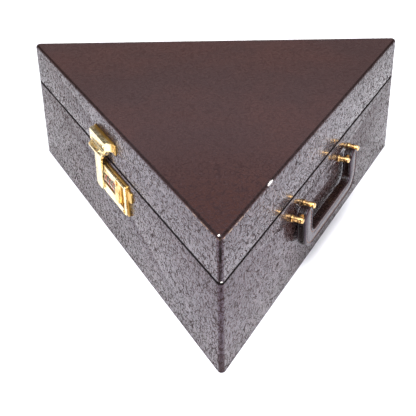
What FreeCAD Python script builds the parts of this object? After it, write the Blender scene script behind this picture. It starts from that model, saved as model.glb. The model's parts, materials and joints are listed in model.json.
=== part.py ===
import FreeCAD, Part

import math
import os

from FreeCAD import Placement, Rotation, Vector

# Triangular carrying case for a backgammon set. Millimetres, +Z up, near corner towards -Y,
# hinge side towards +Y, origin at the middle of the bounding box's bottom face.

# --- Case -------------------------------------------------------------------------------------
SIDE = 432.0                 # each of the two equal sides, between sharp corners
APEX_ANGLE = 53.8            # plan angle at the near corner, degrees
CASE_HEIGHT = 128.0
PARTING_Z = 86.8             # height of the joint between base and lid
RIM_GAP = 1.4                # between the two rims when the lid is shut
NEAR_CORNER_RADIUS = 3.2     # upright corners
BACK_CORNER_RADIUS = 5.0
TOP_EDGE_RADIUS = 3.0
COVER = 1.0                  # leatherette
PANEL = 6.0                  # top and bottom plywood
BASE_WALL = 8.0
LID_WALL = 7.4               # thinner, so that the lid clears the base's lip
LINING = 1.0                 # felt on the inner faces
LIP = 1.2
LIP_LOW_Z = 76.0
LIP_RISE = 5.0               # above the parting line

# --- Playing board and wells in the base ---------------------------------------------------------
WELL_LENGTH = 130.0          # near-corner well, from the inner corner
TROUGH_WIDTH = 36.0          # along the hinge wall
PARTITION = 5.0
BOARD_TOP_Z = 61.0
BOARD_THICKNESS = 5.0
TROUGH_FLOOR_Z = 34.0
TROUGH_FLOOR_THICKNESS = 4.0
INLAY = 0.5                  # thickness of a point
POINTS_PER_SIDE = 6
POINT_LENGTH = 62.0
POINT_GAP = 1.2              # between neighbouring points

# --- Loose playing pieces, stowed ------------------------------------------------------------
CHECKER_RADIUS = 15.0
CHECKER_THICKNESS = 6.0
CHECKER_PITCH = 6.2
CHECKERS = 15
CHECKER_DISH = 0.6
CHECKER_DISH_RADIUS = 9.0
CHECKER_EDGE_RADIUS = 1.5
DIVIDER = 3.0
DIVIDER_HEIGHT = 18.0
STACK_LENGTH = 97.0          # from the middle divider to an end divider
DIE = 14.0
DIE_PITCH = 17.0
DOUBLING_CUBE = 24.0
CUBE_EDGE_SHARE = 0.11       # edge radius of a die or cube as a share of its size
CUP_RADIUS = 21.0
CUP_WALL = 2.6
CUP_HEIGHT = 62.0
CUP_OFFSET_X = 22.5
CUP_FROM_PARTITION = 24.0
CUBE_FROM_PARTITION = 75.0

# --- Piano hinge -------------------------------------------------------------------------------
KNUCKLE_RADIUS = 2.8
KNUCKLE_STANDOFF = 0.3       # between a knuckle and the back face
KNUCKLE_BITE_RADIUS = 2.2    # where the web runs into the knuckle
HINGE_PIN_RADIUS = 1.2
RUNNING_FIT = 0.05           # radial clearance of every running fit
KNUCKLES = 21
KNUCKLE_PITCH = 16.8
KNUCKLE_GAP = 0.5
LEAF_THICKNESS = 1.2
LEAF_FROM_AXIS = 3.4
LEAF_HEIGHT = 13.0
HINGE_SCREWS = 9
HINGE_SCREW_PITCH = 41.0
HINGE_SCREW_FROM_AXIS = 10.0

# --- Handle on the right side --------------------------------------------------------------------
HANDLE_CENTRE = 210.0        # along the side from the near corner
HANDLE_PIVOT_Z = 67.4
HANDLE_PIVOT_OUT = 7.4       # from the side's face
HANDLE_WIDTH = 135.0
HANDLE_ARM = 16.7
HANDLE_THICKNESS = 9.2
HANDLE_BOTTOM_Z = 29.6
HANDLE_GRIP = 13.9
HANDLE_OUTER_RADIUS = 20.0
HANDLE_INNER_RADIUS = 8.0
HANDLE_EDGE_RADIUS = 1.8
ARM_END_BELOW_PIVOT = 3.0    # centre of an arm's rounded end, so that the end clears the wall
HANDLE_CORE_WIDTH = 7.0
HANDLE_CORE_THICKNESS = 2.4
HANDLE_CORE_BELOW_PIVOT = 8.0
HANDLE_BUSH_WALL = 0.5
POST_RADIUS = 2.7
POST_LENGTH = 11.4
POST_SPREAD = 13.8           # from the pivot to each post of its pair
POST_TAIL = 6.0              # part of the post inside the wall
POST_TIP_RADIUS = 1.5
COLLAR_RADIUS = 3.4
COLLAR_THICKNESS = 1.8
COLLAR_EDGE_RADIUS = 0.5
CROSS_PIN_RADIUS = 1.5

# --- Combination lock on the left side, in its own x (right), z (up) from the middle of the case ---
LOCK_CENTRE = 210.3          # along the side from the near corner
LOCK_Z = 65.3
LOCK_LENGTH = 68.6
LOCK_HEIGHT = 29.6
LOCK_DEPTH = 4.0             # front of the case, out from the side's face
LOCK_CORNER_RADIUS = 2.0
LOCK_EDGE_BEVEL = 0.7
LOCK_PLATE = 1.5
LOCK_PLATE_MARGIN = 1.2      # plate beyond the case, all round
LOCK_TAB_LENGTH = 9.6        # fixing tab, beyond the case's right end
LOCK_TAB_Z = (2.0, 12.5)
WHEEL_WINDOW_X = (-16.1, 10.9)
WHEEL_WINDOW_Z = (-5.4, 6.9)
SLIDE_WINDOW_X = (12.0, 31.8)
SLIDE_WINDOW_Z = (-8.8, 12.7)
SLIDE_CAVITY_MARGIN = 1.2    # cavity behind the slide's window, above, below and to the right
SLIDE_CAVITY_OUT = 3.0
WHEEL_RADIUS = 5.9
WHEEL_WIDTH = 7.6
WHEEL_PITCH = 8.9
WHEEL_BEHIND_FACE = 1.2      # wheel centre line, in from the side's face
WHEEL_Z = 0.75
FIRST_WHEEL_X = -11.5
WHEEL_COUNT = 3
WHEEL_FLUTES = 10
FLUTE_RADIUS = 0.6
WHEEL_SHAFT_RADIUS = 1.0
WHEEL_SHAFT_BITE = 2.0       # shaft end held in the wall
POCKET_DEPTH = 7.5
POCKET_HALF_HEIGHT = 6.3
SLIDE_X = (12.9, 20.9)
SLIDE_Z = (-8.2, 9.0)
SLIDE_OUT = 5.2
SLIDE_RAMP = (3.3, 7.0)      # slope on the slide's upper end, out and down
SLIDE_FOOT_X = (12.3, 22.0)
SLIDE_FOOT_Z = (-9.7, 13.6)
SLIDE_FOOT_OUT = (1.8, 2.7)
SLIDE_EDGE_RADIUS = 0.5
LOCK_SCREW_X = 30.6
LOCK_SCREW_Z = -11.6

# --- Hasp, hung from a block on the lid ---------------------------------------------------------
HASP_BLOCK_X = (-39.5, -1.7) # in the lock's own x
HASP_BLOCK_Z = (101.0, 109.5)
HASP_BLOCK_OUT = 6.4
HASP_BLOCK_BEVEL = 1.6
HASP_BLOCK_END_SLOPE = 6.0   # how far the right end spreads towards the wall
HASP_RIDGES = 3
HASP_RIDGE_DEPTH = 0.55
HASP_RIDGES_OUT = (1.9, 4.4)
HASP_RIVET_RADIUS = 1.5
HASP_RIVET_HEIGHT = 0.5
HASP_RIVET_INSET = 4.0
HASP_RIVET_Z = 103.3
HASP_LUG = 3.2
HASP_AXIS_Z = 98.0
HASP_AXIS_OUT = 4.6
HASP_KNUCKLE_RADIUS = 2.0
HASP_PIN_RADIUS = 1.0
HASP_END_GAP = 0.3
HASP_FLAP_X = (-36.0, -13.5)
HASP_FLAP_OUT = 10.0
HASP_FLAP_LOW_Z = 92.6
HASP_FLAP_THICKNESS = 1.8
HASP_LIP_X = (-18.5, -6.5)   # finger lip under the flap's right part
HASP_LIP_OUT = 7.4
HASP_LIP_Z = 93.4
HASP_LIP_RADIUS = 2.4
HASP_STRAP_X = (-32.2, -16.6)
HASP_STRAP_OUT = (4.4, 6.0)
HASP_STRAP_LOW_Z = 52.6
HASP_STRAP_CORNER = 4.0
HASP_PLATE_X = (-41.0, 11.0)
HASP_PLATE_THICKNESS = 1.0
HASP_PLATE_MARGIN = 1.0      # above and below the block
HASP_PLATE_RADIUS = 2.0
HASP_SCREW_X = 7.6

# --- Screws --------------------------------------------------------------------------------------
SCREW_HEAD_RADIUS = 2.0
SCREW_HEAD_HEIGHT = 0.9
SCREW_HEAD_EDGE = 0.5
SCREW_SHANK_RADIUS = 1.1
SCREW_LENGTH = 6.0

# --- Worked out from the above -------------------------------------------------------------------
TOLERANCE = 1e-6             # for picking edges by where they lie
HALF_ANGLE = math.radians(APEX_ANGLE / 2)
SIN_HALF = math.sin(HALF_ANGLE)
COS_HALF = math.cos(HALF_ANGLE)
TAN_HALF = math.tan(HALF_ANGLE)
DEPTH = SIDE * COS_HALF
TIP_INSET = NEAR_CORNER_RADIUS / SIN_HALF - NEAR_CORNER_RADIUS
HINGE_AXIS_OUT = KNUCKLE_STANDOFF + KNUCKLE_RADIUS
NEAR_Y = -(TIP_INSET + DEPTH + HINGE_AXIS_OUT + KNUCKLE_RADIUS) / 2
BACK_Y = NEAR_Y + DEPTH
BASE_RIM_Z = PARTING_Z - RIM_GAP / 2
LID_RIM_Z = PARTING_Z + RIM_GAP / 2
BASE_INNER = COVER + BASE_WALL + LINING
LID_INNER = COVER + LID_WALL + LINING
FLOOR_Z = COVER + PANEL
FIELD_Z = BOARD_TOP_Z + LINING
LID_PANEL_Z = CASE_HEIGHT - COVER - PANEL
INNER_NEAR_Y = NEAR_Y + BASE_INNER / SIN_HALF
INNER_BACK_Y = BACK_Y - BASE_INNER
WELL_Y = INNER_NEAR_Y + WELL_LENGTH
TROUGH_Y = INNER_BACK_Y - TROUGH_WIDTH


def box(x_range, y_range, z_range):
    size = [high - low for low, high in (x_range, y_range, z_range)]
    return Part.makeBox(*size, Vector(x_range[0], y_range[0], z_range[0]))


def rod_x(x_range, y, z, radius):
    return Part.makeCylinder(radius, x_range[1] - x_range[0], Vector(x_range[0], y, z), Vector(1, 0, 0))


def rod_y(y_range, x, z, radius):
    return Part.makeCylinder(radius, y_range[1] - y_range[0], Vector(x, y_range[0], z), Vector(0, 1, 0))


def polygon_face(points):
    return Part.Face(Part.makePolygon(points + [points[0]]))


def compound(shapes):
    return Part.Compound(list(shapes))


def face_frame(side):
    """Frame on an outer face: x to the right as seen from outside, y into the case, z up."""
    turns = {"left": math.degrees(HALF_ANGLE) - 90, "right": 90 - math.degrees(HALF_ANGLE), "back": 180}
    origin = Vector(0, BACK_Y if side == "back" else NEAR_Y, 0)
    return Placement(origin, Rotation(Vector(0, 0, 1), turns[side]))


def placed(shape, side, x=0.0, z=0.0):
    """Move a shape from a face's own frame, shifted by x and z, to the case."""
    result = shape.copy()
    result.Placement = face_frame(side).multiply(Placement(Vector(x, 0, z), Rotation()))
    return result


# --- Triangular shells ---------------------------------------------------------------------------
def triangle_corners(inset):
    near = Vector(0, NEAR_Y + inset / SIN_HALF, 0)
    back_y = BACK_Y - inset
    half_width = (back_y - near.y) * TAN_HALF
    return [near, Vector(half_width, back_y, 0), Vector(-half_width, back_y, 0)]


def rounded_corner(corner, before, after, radius):
    """Start, middle and end of the arc that rounds one corner."""
    towards_before = (before - corner).normalize()
    towards_after = (after - corner).normalize()
    half = towards_before.getAngle(towards_after) / 2
    reach = radius / math.tan(half)
    bisector = (towards_before + towards_after).normalize()
    middle = corner + bisector * (radius / math.sin(half) - radius)
    return corner + towards_before * reach, middle, corner + towards_after * reach


def triangle_face(inset, rounded):
    corners = triangle_corners(inset)
    if not rounded:
        return polygon_face(corners)
    radii = [radius - inset for radius in (NEAR_CORNER_RADIUS, BACK_CORNER_RADIUS, BACK_CORNER_RADIUS)]
    arcs = [rounded_corner(corners[i], corners[i - 1], corners[(i + 1) % 3], radii[i]) for i in range(3)]
    edges = []
    for index, (start, middle, end) in enumerate(arcs):
        edges.append(Part.Arc(start, middle, end).toShape())
        edges.append(Part.LineSegment(end, arcs[(index + 1) % 3][0]).toShape())
    return Part.Face(Part.Wire(edges))


def prism(inset, z_range, rounded=False):
    face = triangle_face(inset, rounded)
    face.translate(Vector(0, 0, z_range[0]))
    return face.extrude(Vector(0, 0, z_range[1] - z_range[0]))


def ring(outer_inset, inner_inset, z_range):
    """Band between two outlines; those in the covering or just under it have rounded corners."""
    outer = prism(outer_inset, z_range, outer_inset <= COVER)
    return outer.cut(prism(inner_inset, z_range, inner_inset <= COVER))


def slab(inset, y_range, z_range):
    """Part of the inner triangle between two lines across the case."""
    across = box((-SIDE, SIDE), y_range, z_range)
    return prism(inset, z_range).common(across)


def round_top_edges(solid, radius):
    top = solid.BoundBox.ZMax
    edges = [edge for edge in solid.Edges if edge.BoundBox.ZMin > top - TOLERANCE]
    return solid.makeFillet(radius, edges)


def mitred_walls(outer_inset, inner_inset, z_range):
    """The three walls of a band, parted on the lines that halve its corners."""
    band = ring(outer_inset, inner_inset, z_range)
    middle_inset = DEPTH / (1 + 1 / SIN_HALF)
    middle = Vector(0, BACK_Y - middle_inset, z_range[0])
    past_corners = 2
    near, right, left = [middle + (corner - middle) * past_corners for corner in triangle_corners(0)]
    for corner in (near, right, left):
        corner.z = z_range[0]
    pairs = {"left": (near, left), "right": (right, near), "back": (left, right)}
    height = Vector(0, 0, z_range[1] - z_range[0])
    return {side: band.common(polygon_face([middle, *ends]).extrude(height)) for side, ends in pairs.items()}


def base_shell():
    panel_inset = COVER + BASE_WALL
    walls = mitred_walls(COVER, panel_inset, (FLOOR_Z, BASE_RIM_Z - COVER))
    skin = ring(0, COVER, (COVER, BASE_RIM_Z))
    turn_in = ring(COVER, BASE_INNER, (BASE_RIM_Z - COVER, BASE_RIM_Z))
    return {
        "bottom_cover": prism(0, (0, COVER), rounded=True),
        "bottom_panel": prism(COVER, (COVER, FLOOR_Z), rounded=True),
        "left_wall": walls["left"],
        "right_wall": walls["right"],
        "back_wall": walls["back"],
        "base_covering": skin.fuse(turn_in).removeSplitter(),
        "base_lining": ring(panel_inset, BASE_INNER, (FLOOR_Z, BASE_RIM_Z - COVER)),
        "base_lip": ring(BASE_INNER, BASE_INNER + LIP, (LIP_LOW_Z, PARTING_Z + LIP_RISE)),
    }


def lid_shell():
    panel_inset = COVER + LID_WALL
    inside_top_z = CASE_HEIGHT - COVER
    walls = mitred_walls(COVER, panel_inset, (LID_RIM_Z + COVER, LID_PANEL_Z))
    outside = round_top_edges(prism(0, (LID_RIM_Z, CASE_HEIGHT), rounded=True), TOP_EDGE_RADIUS)
    inside = round_top_edges(prism(COVER, (LID_RIM_Z, inside_top_z), rounded=True), TOP_EDGE_RADIUS - COVER)
    turn_in = ring(COVER, LID_INNER, (LID_RIM_Z, LID_RIM_Z + COVER))
    panel = prism(COVER, (LID_PANEL_Z, inside_top_z), rounded=True)
    return {
        "lid_top_panel": round_top_edges(panel, TOP_EDGE_RADIUS - COVER),
        "lid_left_wall": walls["left"],
        "lid_right_wall": walls["right"],
        "lid_back_wall": walls["back"],
        "lid_covering": outside.cut(inside).fuse(turn_in).removeSplitter(),
        "lid_lining": ring(panel_inset, LID_INNER, (LID_RIM_Z + COVER, LID_PANEL_Z)),
        "lid_field": prism(LID_INNER, (LID_PANEL_Z - LINING, LID_PANEL_Z)),
    }


# --- Playing surfaces ------------------------------------------------------------------------------
def points(side, parity, low_z):
    """Every second point along one side: slim triangles with their bases on the wall."""
    start = WELL_LENGTH / COS_HALF
    end = (TROUGH_Y - PARTITION - INNER_NEAR_Y) / COS_HALF
    pitch = (end - start) / POINTS_PER_SIDE
    sign = 1 if side == "right" else -1
    along = Vector(sign * SIN_HALF, COS_HALF, 0)
    inward = Vector(-sign * COS_HALF, SIN_HALF, 0)
    corner = Vector(0, INNER_NEAR_Y, low_z)
    first_base = corner + inward * (LIP + POINT_GAP)
    shapes = []
    for index in range(parity, POINTS_PER_SIDE, 2):
        low = first_base + along * (start + index * pitch + POINT_GAP)
        high = first_base + along * (start + (index + 1) * pitch - POINT_GAP)
        tip = (low + high) * 0.5 + inward * POINT_LENGTH
        shapes.append(polygon_face([low, high, tip]).extrude(Vector(0, 0, INLAY)))
    return shapes


def playing_surfaces():
    board_y = (WELL_Y, TROUGH_Y)
    partition_z = (FLOOR_Z + LINING, BOARD_TOP_Z - BOARD_THICKNESS)
    lid_inlay_z = LID_PANEL_Z - LINING - INLAY
    return {
        "floor_felt": prism(BASE_INNER, (FLOOR_Z, FLOOR_Z + LINING)),
        "well_partition": slab(BASE_INNER, (WELL_Y, WELL_Y + PARTITION), partition_z),
        "trough_partition": slab(BASE_INNER, (TROUGH_Y - PARTITION, TROUGH_Y), partition_z),
        "trough_floor": slab(BASE_INNER, (TROUGH_Y, INNER_BACK_Y),
                             (TROUGH_FLOOR_Z - TROUGH_FLOOR_THICKNESS, TROUGH_FLOOR_Z)),
        "playing_board": slab(BASE_INNER, board_y, (BOARD_TOP_Z - BOARD_THICKNESS, BOARD_TOP_Z)),
        "base_field": slab(BASE_INNER, board_y, (BOARD_TOP_Z, FIELD_Z)),
        "base_points_light": compound(points("left", 0, FIELD_Z) + points("right", 1, FIELD_Z)),
        "base_points_dark": compound(points("left", 1, FIELD_Z) + points("right", 0, FIELD_Z)),
        "lid_points_light": compound(points("left", 1, lid_inlay_z) + points("right", 0, lid_inlay_z)),
        "lid_points_dark": compound(points("left", 0, lid_inlay_z) + points("right", 1, lid_inlay_z)),
    }


def checker_stack(direction):
    """Fifteen dished checkers on edge in the trough, to the right (1) or left (-1) of the middle."""
    centre_y = TROUGH_Y + TROUGH_WIDTH / 2
    centre_z = TROUGH_FLOOR_Z + CHECKER_RADIUS
    gap = (CHECKER_PITCH - CHECKER_THICKNESS) / 2
    shapes = []
    for index in range(CHECKERS):
        low = DIVIDER / 2 + gap + index * CHECKER_PITCH
        ends = sorted((direction * low, direction * (low + CHECKER_THICKNESS)))
        disc = rod_x(ends, centre_y, centre_z, CHECKER_RADIUS)
        disc = disc.makeFillet(CHECKER_EDGE_RADIUS, disc.Edges[0:1] + disc.Edges[2:3])
        for dish_start in (ends[0], ends[1] - CHECKER_DISH):
            dish_range = (dish_start, dish_start + CHECKER_DISH)
            disc = disc.cut(rod_x(dish_range, centre_y, centre_z, CHECKER_DISH_RADIUS))
        shapes.append(disc)
    return compound(shapes)


def rounded_cube(size, x, y, z):
    cube = box((x, x + size), (y, y + size), (z, z + size))
    return cube.makeFillet(size * CUBE_EDGE_SHARE, cube.Edges)


def dice(first_x):
    y = TROUGH_Y + (TROUGH_WIDTH - DIE) / 2
    return compound(rounded_cube(DIE, first_x + index * DIE_PITCH, y, TROUGH_FLOOR_Z) for index in range(2))


def dice_cup(x):
    y = WELL_Y - CUP_FROM_PARTITION
    low = FLOOR_Z + LINING
    outside = Part.makeCylinder(CUP_RADIUS, CUP_HEIGHT, Vector(x, y, low))
    inside = Part.makeCylinder(CUP_RADIUS - CUP_WALL, CUP_HEIGHT, Vector(x, y, low + CUP_WALL))
    return outside.cut(inside)


def playing_pieces():
    trough_y = (TROUGH_Y, INNER_BACK_Y)
    divider_z = (TROUGH_FLOOR_Z, TROUGH_FLOOR_Z + DIVIDER_HEIGHT)
    divider_x = (-STACK_LENGTH, 0, STACK_LENGTH)
    dividers = [box((x - DIVIDER / 2, x + DIVIDER / 2), trough_y, divider_z) for x in divider_x]
    cube_y = WELL_Y - CUBE_FROM_PARTITION
    light_x = -STACK_LENGTH - DIVIDER - 2 * DIE_PITCH
    dark_x = STACK_LENGTH + DIVIDER
    return {
        "trough_dividers": compound(dividers),
        "light_checkers": checker_stack(-1),
        "dark_checkers": checker_stack(1),
        "light_dice": dice(light_x),
        "dark_dice": dice(dark_x),
        "doubling_cube": rounded_cube(DOUBLING_CUBE, -DOUBLING_CUBE / 2, cube_y, FLOOR_Z + LINING),
        "left_dice_cup": dice_cup(-CUP_OFFSET_X),
        "right_dice_cup": dice_cup(CUP_OFFSET_X),
    }


# --- Screws and their holes, in a face's own frame -------------------------------------------------
def screw(x, z, seat):
    """Domed screw whose head stands out from y = seat and whose shank runs into the case."""
    head = rod_y((seat - SCREW_HEAD_HEIGHT, seat), x, z, SCREW_HEAD_RADIUS)
    rim = [edge for edge in head.Edges if edge.BoundBox.YMax < seat - SCREW_HEAD_HEIGHT + TOLERANCE]
    head = head.makeFillet(SCREW_HEAD_EDGE, rim)
    return head.fuse(rod_y((seat, seat + SCREW_LENGTH), x, z, SCREW_SHANK_RADIUS))


def screw_hole(x, z, seat):
    return rod_y((seat, seat + SCREW_LENGTH), x, z, SCREW_SHANK_RADIUS)


# --- Piano hinge -------------------------------------------------------------------------------
def hinge_leaf(parity, direction):
    """One leaf in the back face's frame: a plate and every second knuckle, down (-1) or up (1)."""
    length = KNUCKLES * KNUCKLE_PITCH
    far = direction * (LEAF_FROM_AXIS + LEAF_HEIGHT)
    near = direction * LEAF_FROM_AXIS
    leaf = box((-length / 2, length / 2), (-LEAF_THICKNESS, 0), sorted((near, far)))
    for index in range(parity, KNUCKLES, 2):
        start = -length / 2 + index * KNUCKLE_PITCH
        span = (start + KNUCKLE_GAP / 2, start + KNUCKLE_PITCH - KNUCKLE_GAP / 2)
        web = box(span, (-LEAF_THICKNESS, 0), sorted((0, near)))
        web = web.cut(rod_x(span, -HINGE_AXIS_OUT, 0, KNUCKLE_BITE_RADIUS))
        knuckle = rod_x(span, -HINGE_AXIS_OUT, 0, KNUCKLE_RADIUS)
        leaf = leaf.fuse([web, knuckle])
    bore = rod_x((-length, length), -HINGE_AXIS_OUT, 0, HINGE_PIN_RADIUS + RUNNING_FIT)
    return leaf.cut(bore).removeSplitter()


def hinge_screw_places(direction):
    middle = (HINGE_SCREWS - 1) / 2
    z = direction * HINGE_SCREW_FROM_AXIS
    return [((index - middle) * HINGE_SCREW_PITCH, z) for index in range(HINGE_SCREWS)]


def add_hinge(nodes):
    length = KNUCKLES * KNUCKLE_PITCH
    pin = rod_x((-length / 2, length / 2), -HINGE_AXIS_OUT, 0, HINGE_PIN_RADIUS)
    nodes["hinge_pin"] = placed(pin, "back", z=PARTING_Z)
    halves = {"base": (0, -1, "back_wall"), "lid": (1, 1, "lid_back_wall")}
    for half, (parity, direction, wall) in halves.items():
        places = hinge_screw_places(direction)
        holes = compound(screw_hole(x, z, -LEAF_THICKNESS) for x, z in places)
        leaf = hinge_leaf(parity, direction).cut(holes)
        screws = compound(screw(x, z, -LEAF_THICKNESS) for x, z in places)
        nodes["hinge_leaf_" + half] = placed(leaf, "back", z=PARTING_Z)
        nodes["hinge_screws_" + half] = placed(screws, "back", z=PARTING_Z)
        for drilled in (wall, half + "_covering"):
            nodes[drilled] = nodes[drilled].cut(placed(holes, "back", z=PARTING_Z))


# --- Handle ------------------------------------------------------------------------------------
def bail_face(half_width, arm, top_z, bottom_z, grip, outer_radius, inner_radius):
    """U outline with rounded arm ends, in the x, z plane; x = 0 at the handle's middle."""
    inner = half_width - arm
    inner_z = bottom_z + grip
    diagonal = math.sqrt(0.5)

    def at(x, z):
        return Vector(x, 0, z)

    edges = []
    for sign in (-1, 1):
        outer_centre = at(sign * (half_width - outer_radius), bottom_z + outer_radius)
        inner_centre = at(sign * (inner - inner_radius), inner_z + inner_radius)
        outward = at(sign * diagonal, -diagonal)
        low_outer = at(sign * half_width, bottom_z + outer_radius)
        low_inner = at(sign * inner, inner_z + inner_radius)
        edges.append(Part.LineSegment(at(sign * half_width, top_z), low_outer))
        edges.append(Part.Arc(low_outer, outer_centre + outward * outer_radius,
                              at(sign * (half_width - outer_radius), bottom_z)))
        arm_end = at(sign * (half_width - arm / 2), top_z + arm / 2)
        edges.append(Part.Arc(at(sign * half_width, top_z), arm_end, at(sign * inner, top_z)))
        edges.append(Part.LineSegment(at(sign * inner, top_z), low_inner))
        edges.append(Part.Arc(low_inner, inner_centre + outward * inner_radius,
                              at(sign * (inner - inner_radius), inner_z)))
    for reach, z in ((half_width - outer_radius, bottom_z), (inner - inner_radius, inner_z)):
        edges.append(Part.LineSegment(at(-reach, z), at(reach, z)))
    ordered = Part.sortEdges([edge.toShape() for edge in edges])[0]
    return Part.Face(Part.Wire(ordered))


def bail(margin, y_range, arm_end_z):
    """The handle's U, drawn in by a margin, with arms whose rounded ends start at a height."""
    face = bail_face(HANDLE_WIDTH / 2 - margin, HANDLE_ARM - 2 * margin, arm_end_z,
                     HANDLE_BOTTOM_Z + margin, HANDLE_GRIP - 2 * margin,
                     HANDLE_OUTER_RADIUS - margin, HANDLE_INNER_RADIUS + margin)
    face.translate(Vector(0, y_range[0], 0))
    return face.extrude(Vector(0, y_range[1] - y_range[0], 0))


def handle_pivots():
    reach = (HANDLE_WIDTH - HANDLE_ARM) / 2
    return (-reach, reach)


def handle_moving_parts():
    front = -(HANDLE_PIVOT_OUT + HANDLE_THICKNESS / 2)
    leather = bail(0, (front, front + HANDLE_THICKNESS), HANDLE_PIVOT_Z - ARM_END_BELOW_PIVOT)
    rims = [edge for edge in leather.Edges if edge.BoundBox.YLength < TOLERANCE]
    leather = leather.makeFillet(HANDLE_EDGE_RADIUS, rims)
    core_front = -(HANDLE_PIVOT_OUT + HANDLE_CORE_THICKNESS / 2)
    core = bail((HANDLE_ARM - HANDLE_CORE_WIDTH) / 2, (core_front, core_front + HANDLE_CORE_THICKNESS),
                HANDLE_PIVOT_Z - HANDLE_CORE_BELOW_PIVOT)
    bush_bore = CROSS_PIN_RADIUS + RUNNING_FIT
    bushes = []
    for pivot in handle_pivots():
        span = (pivot - HANDLE_ARM / 2, pivot + HANDLE_ARM / 2)
        outside = rod_x(span, -HANDLE_PIVOT_OUT, HANDLE_PIVOT_Z, bush_bore + HANDLE_BUSH_WALL)
        bore = rod_x(span, -HANDLE_PIVOT_OUT, HANDLE_PIVOT_Z, bush_bore)
        bushes.append(outside.cut(bore))
        leather = leather.cut(outside)
    return leather.cut(core), core, compound(bushes)


def handle_post(x):
    post = rod_y((-POST_LENGTH, POST_TAIL), x, HANDLE_PIVOT_Z, POST_RADIUS)
    tip = [edge for edge in post.Edges if edge.BoundBox.YMax < -POST_LENGTH + TOLERANCE]
    return post.makeFillet(POST_TIP_RADIUS, tip)


def handle_collar(x):
    ring_shape = rod_y((-COLLAR_THICKNESS, 0), x, HANDLE_PIVOT_Z, COLLAR_RADIUS)
    rim = [edge for edge in ring_shape.Edges if edge.BoundBox.YMax < -COLLAR_THICKNESS + TOLERANCE]
    ring_shape = ring_shape.makeFillet(COLLAR_EDGE_RADIUS, rim)
    return ring_shape.cut(rod_y((-COLLAR_THICKNESS, 0), x, HANDLE_PIVOT_Z, POST_RADIUS))


def add_handle(nodes):
    leather, core, bushes = handle_moving_parts()
    post_x = [pivot + offset for pivot in handle_pivots() for offset in (-POST_SPREAD, POST_SPREAD)]
    half_pin = POST_SPREAD + POST_RADIUS
    pins = [rod_x((pivot - half_pin, pivot + half_pin), -HANDLE_PIVOT_OUT, HANDLE_PIVOT_Z, CROSS_PIN_RADIUS)
            for pivot in handle_pivots()]
    posts = compound(handle_post(x) for x in post_x).cut(compound(pins))
    tails = compound(rod_y((0, POST_TAIL), x, HANDLE_PIVOT_Z, POST_RADIUS) for x in post_x)
    shapes = {
        "handle_leather": leather,
        "handle_core": core,
        "handle_bushes": bushes,
        "handle_posts": posts,
        "handle_collars": compound(handle_collar(x) for x in post_x),
        "handle_pins": compound(pins),
    }
    for name, shape in shapes.items():
        nodes[name] = placed(shape, "right", x=HANDLE_CENTRE)
    for drilled in ("right_wall", "base_covering"):
        nodes[drilled] = nodes[drilled].cut(placed(tails, "right", x=HANDLE_CENTRE))


# --- Combination lock, in the lock's own frame -----------------------------------------------------
def rounded_plate(x_range, z_range, y_range, radius):
    plate = box(x_range, y_range, z_range)
    uprights = [edge for edge in plate.Edges if edge.BoundBox.YLength > y_range[1] - y_range[0] - TOLERANCE]
    return plate.makeFillet(radius, uprights)


def front_edges(shape, out):
    """Edges of a shape that lie wholly at a distance out from the face."""
    return [edge for edge in shape.Edges if edge.BoundBox.YMax < TOLERANCE - out]


def lock_case():
    half_length = LOCK_LENGTH / 2
    half_height = LOCK_HEIGHT / 2
    body = rounded_plate((-half_length, half_length), (-half_height, half_height),
                         (-LOCK_DEPTH, -LOCK_PLATE), LOCK_CORNER_RADIUS)
    body = body.makeChamfer(LOCK_EDGE_BEVEL, front_edges(body, LOCK_DEPTH))
    depth = (-LOCK_DEPTH, -LOCK_PLATE)
    cavity_x = (SLIDE_WINDOW_X[0], SLIDE_WINDOW_X[1] + SLIDE_CAVITY_MARGIN)
    cavity_z = (SLIDE_WINDOW_Z[0] - SLIDE_CAVITY_MARGIN, SLIDE_WINDOW_Z[1] + SLIDE_CAVITY_MARGIN)
    openings = [
        box(WHEEL_WINDOW_X, depth, WHEEL_WINDOW_Z),
        box(SLIDE_WINDOW_X, depth, SLIDE_WINDOW_Z),
        box(cavity_x, (-SLIDE_CAVITY_OUT, -LOCK_PLATE), cavity_z),
    ]
    return body.cut(compound(openings))


def lock_plate():
    """Plate under the case with a fixing tab at its right end."""
    half_length = LOCK_LENGTH / 2 + LOCK_PLATE_MARGIN
    half_height = LOCK_HEIGHT / 2 + LOCK_PLATE_MARGIN
    plate = rounded_plate((-half_length, half_length), (-half_height, half_height),
                          (-LOCK_PLATE, 0), LOCK_CORNER_RADIUS)
    tab_x = (0, LOCK_LENGTH / 2 + LOCK_TAB_LENGTH)
    tab = rounded_plate(tab_x, LOCK_TAB_Z, (-LOCK_PLATE, 0), LOCK_CORNER_RADIUS)
    return plate.fuse(tab).removeSplitter()


def wheel_centre(index):
    return FIRST_WHEEL_X + index * WHEEL_PITCH


def lock_wheel(index):
    """Fluted number wheel, bored for the shaft."""
    span = (wheel_centre(index) - WHEEL_WIDTH / 2, wheel_centre(index) + WHEEL_WIDTH / 2)
    wheel = rod_x(span, WHEEL_BEHIND_FACE, WHEEL_Z, WHEEL_RADIUS)
    wheel = wheel.cut(rod_x(span, WHEEL_BEHIND_FACE, WHEEL_Z, WHEEL_SHAFT_RADIUS + RUNNING_FIT))
    flutes = []
    for step in range(WHEEL_FLUTES):
        angle = 2 * math.pi * (step + 0.5) / WHEEL_FLUTES
        y = WHEEL_BEHIND_FACE + WHEEL_RADIUS * math.cos(angle)
        flutes.append(rod_x(span, y, WHEEL_Z + WHEEL_RADIUS * math.sin(angle), FLUTE_RADIUS))
    return wheel.cut(compound(flutes))


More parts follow.
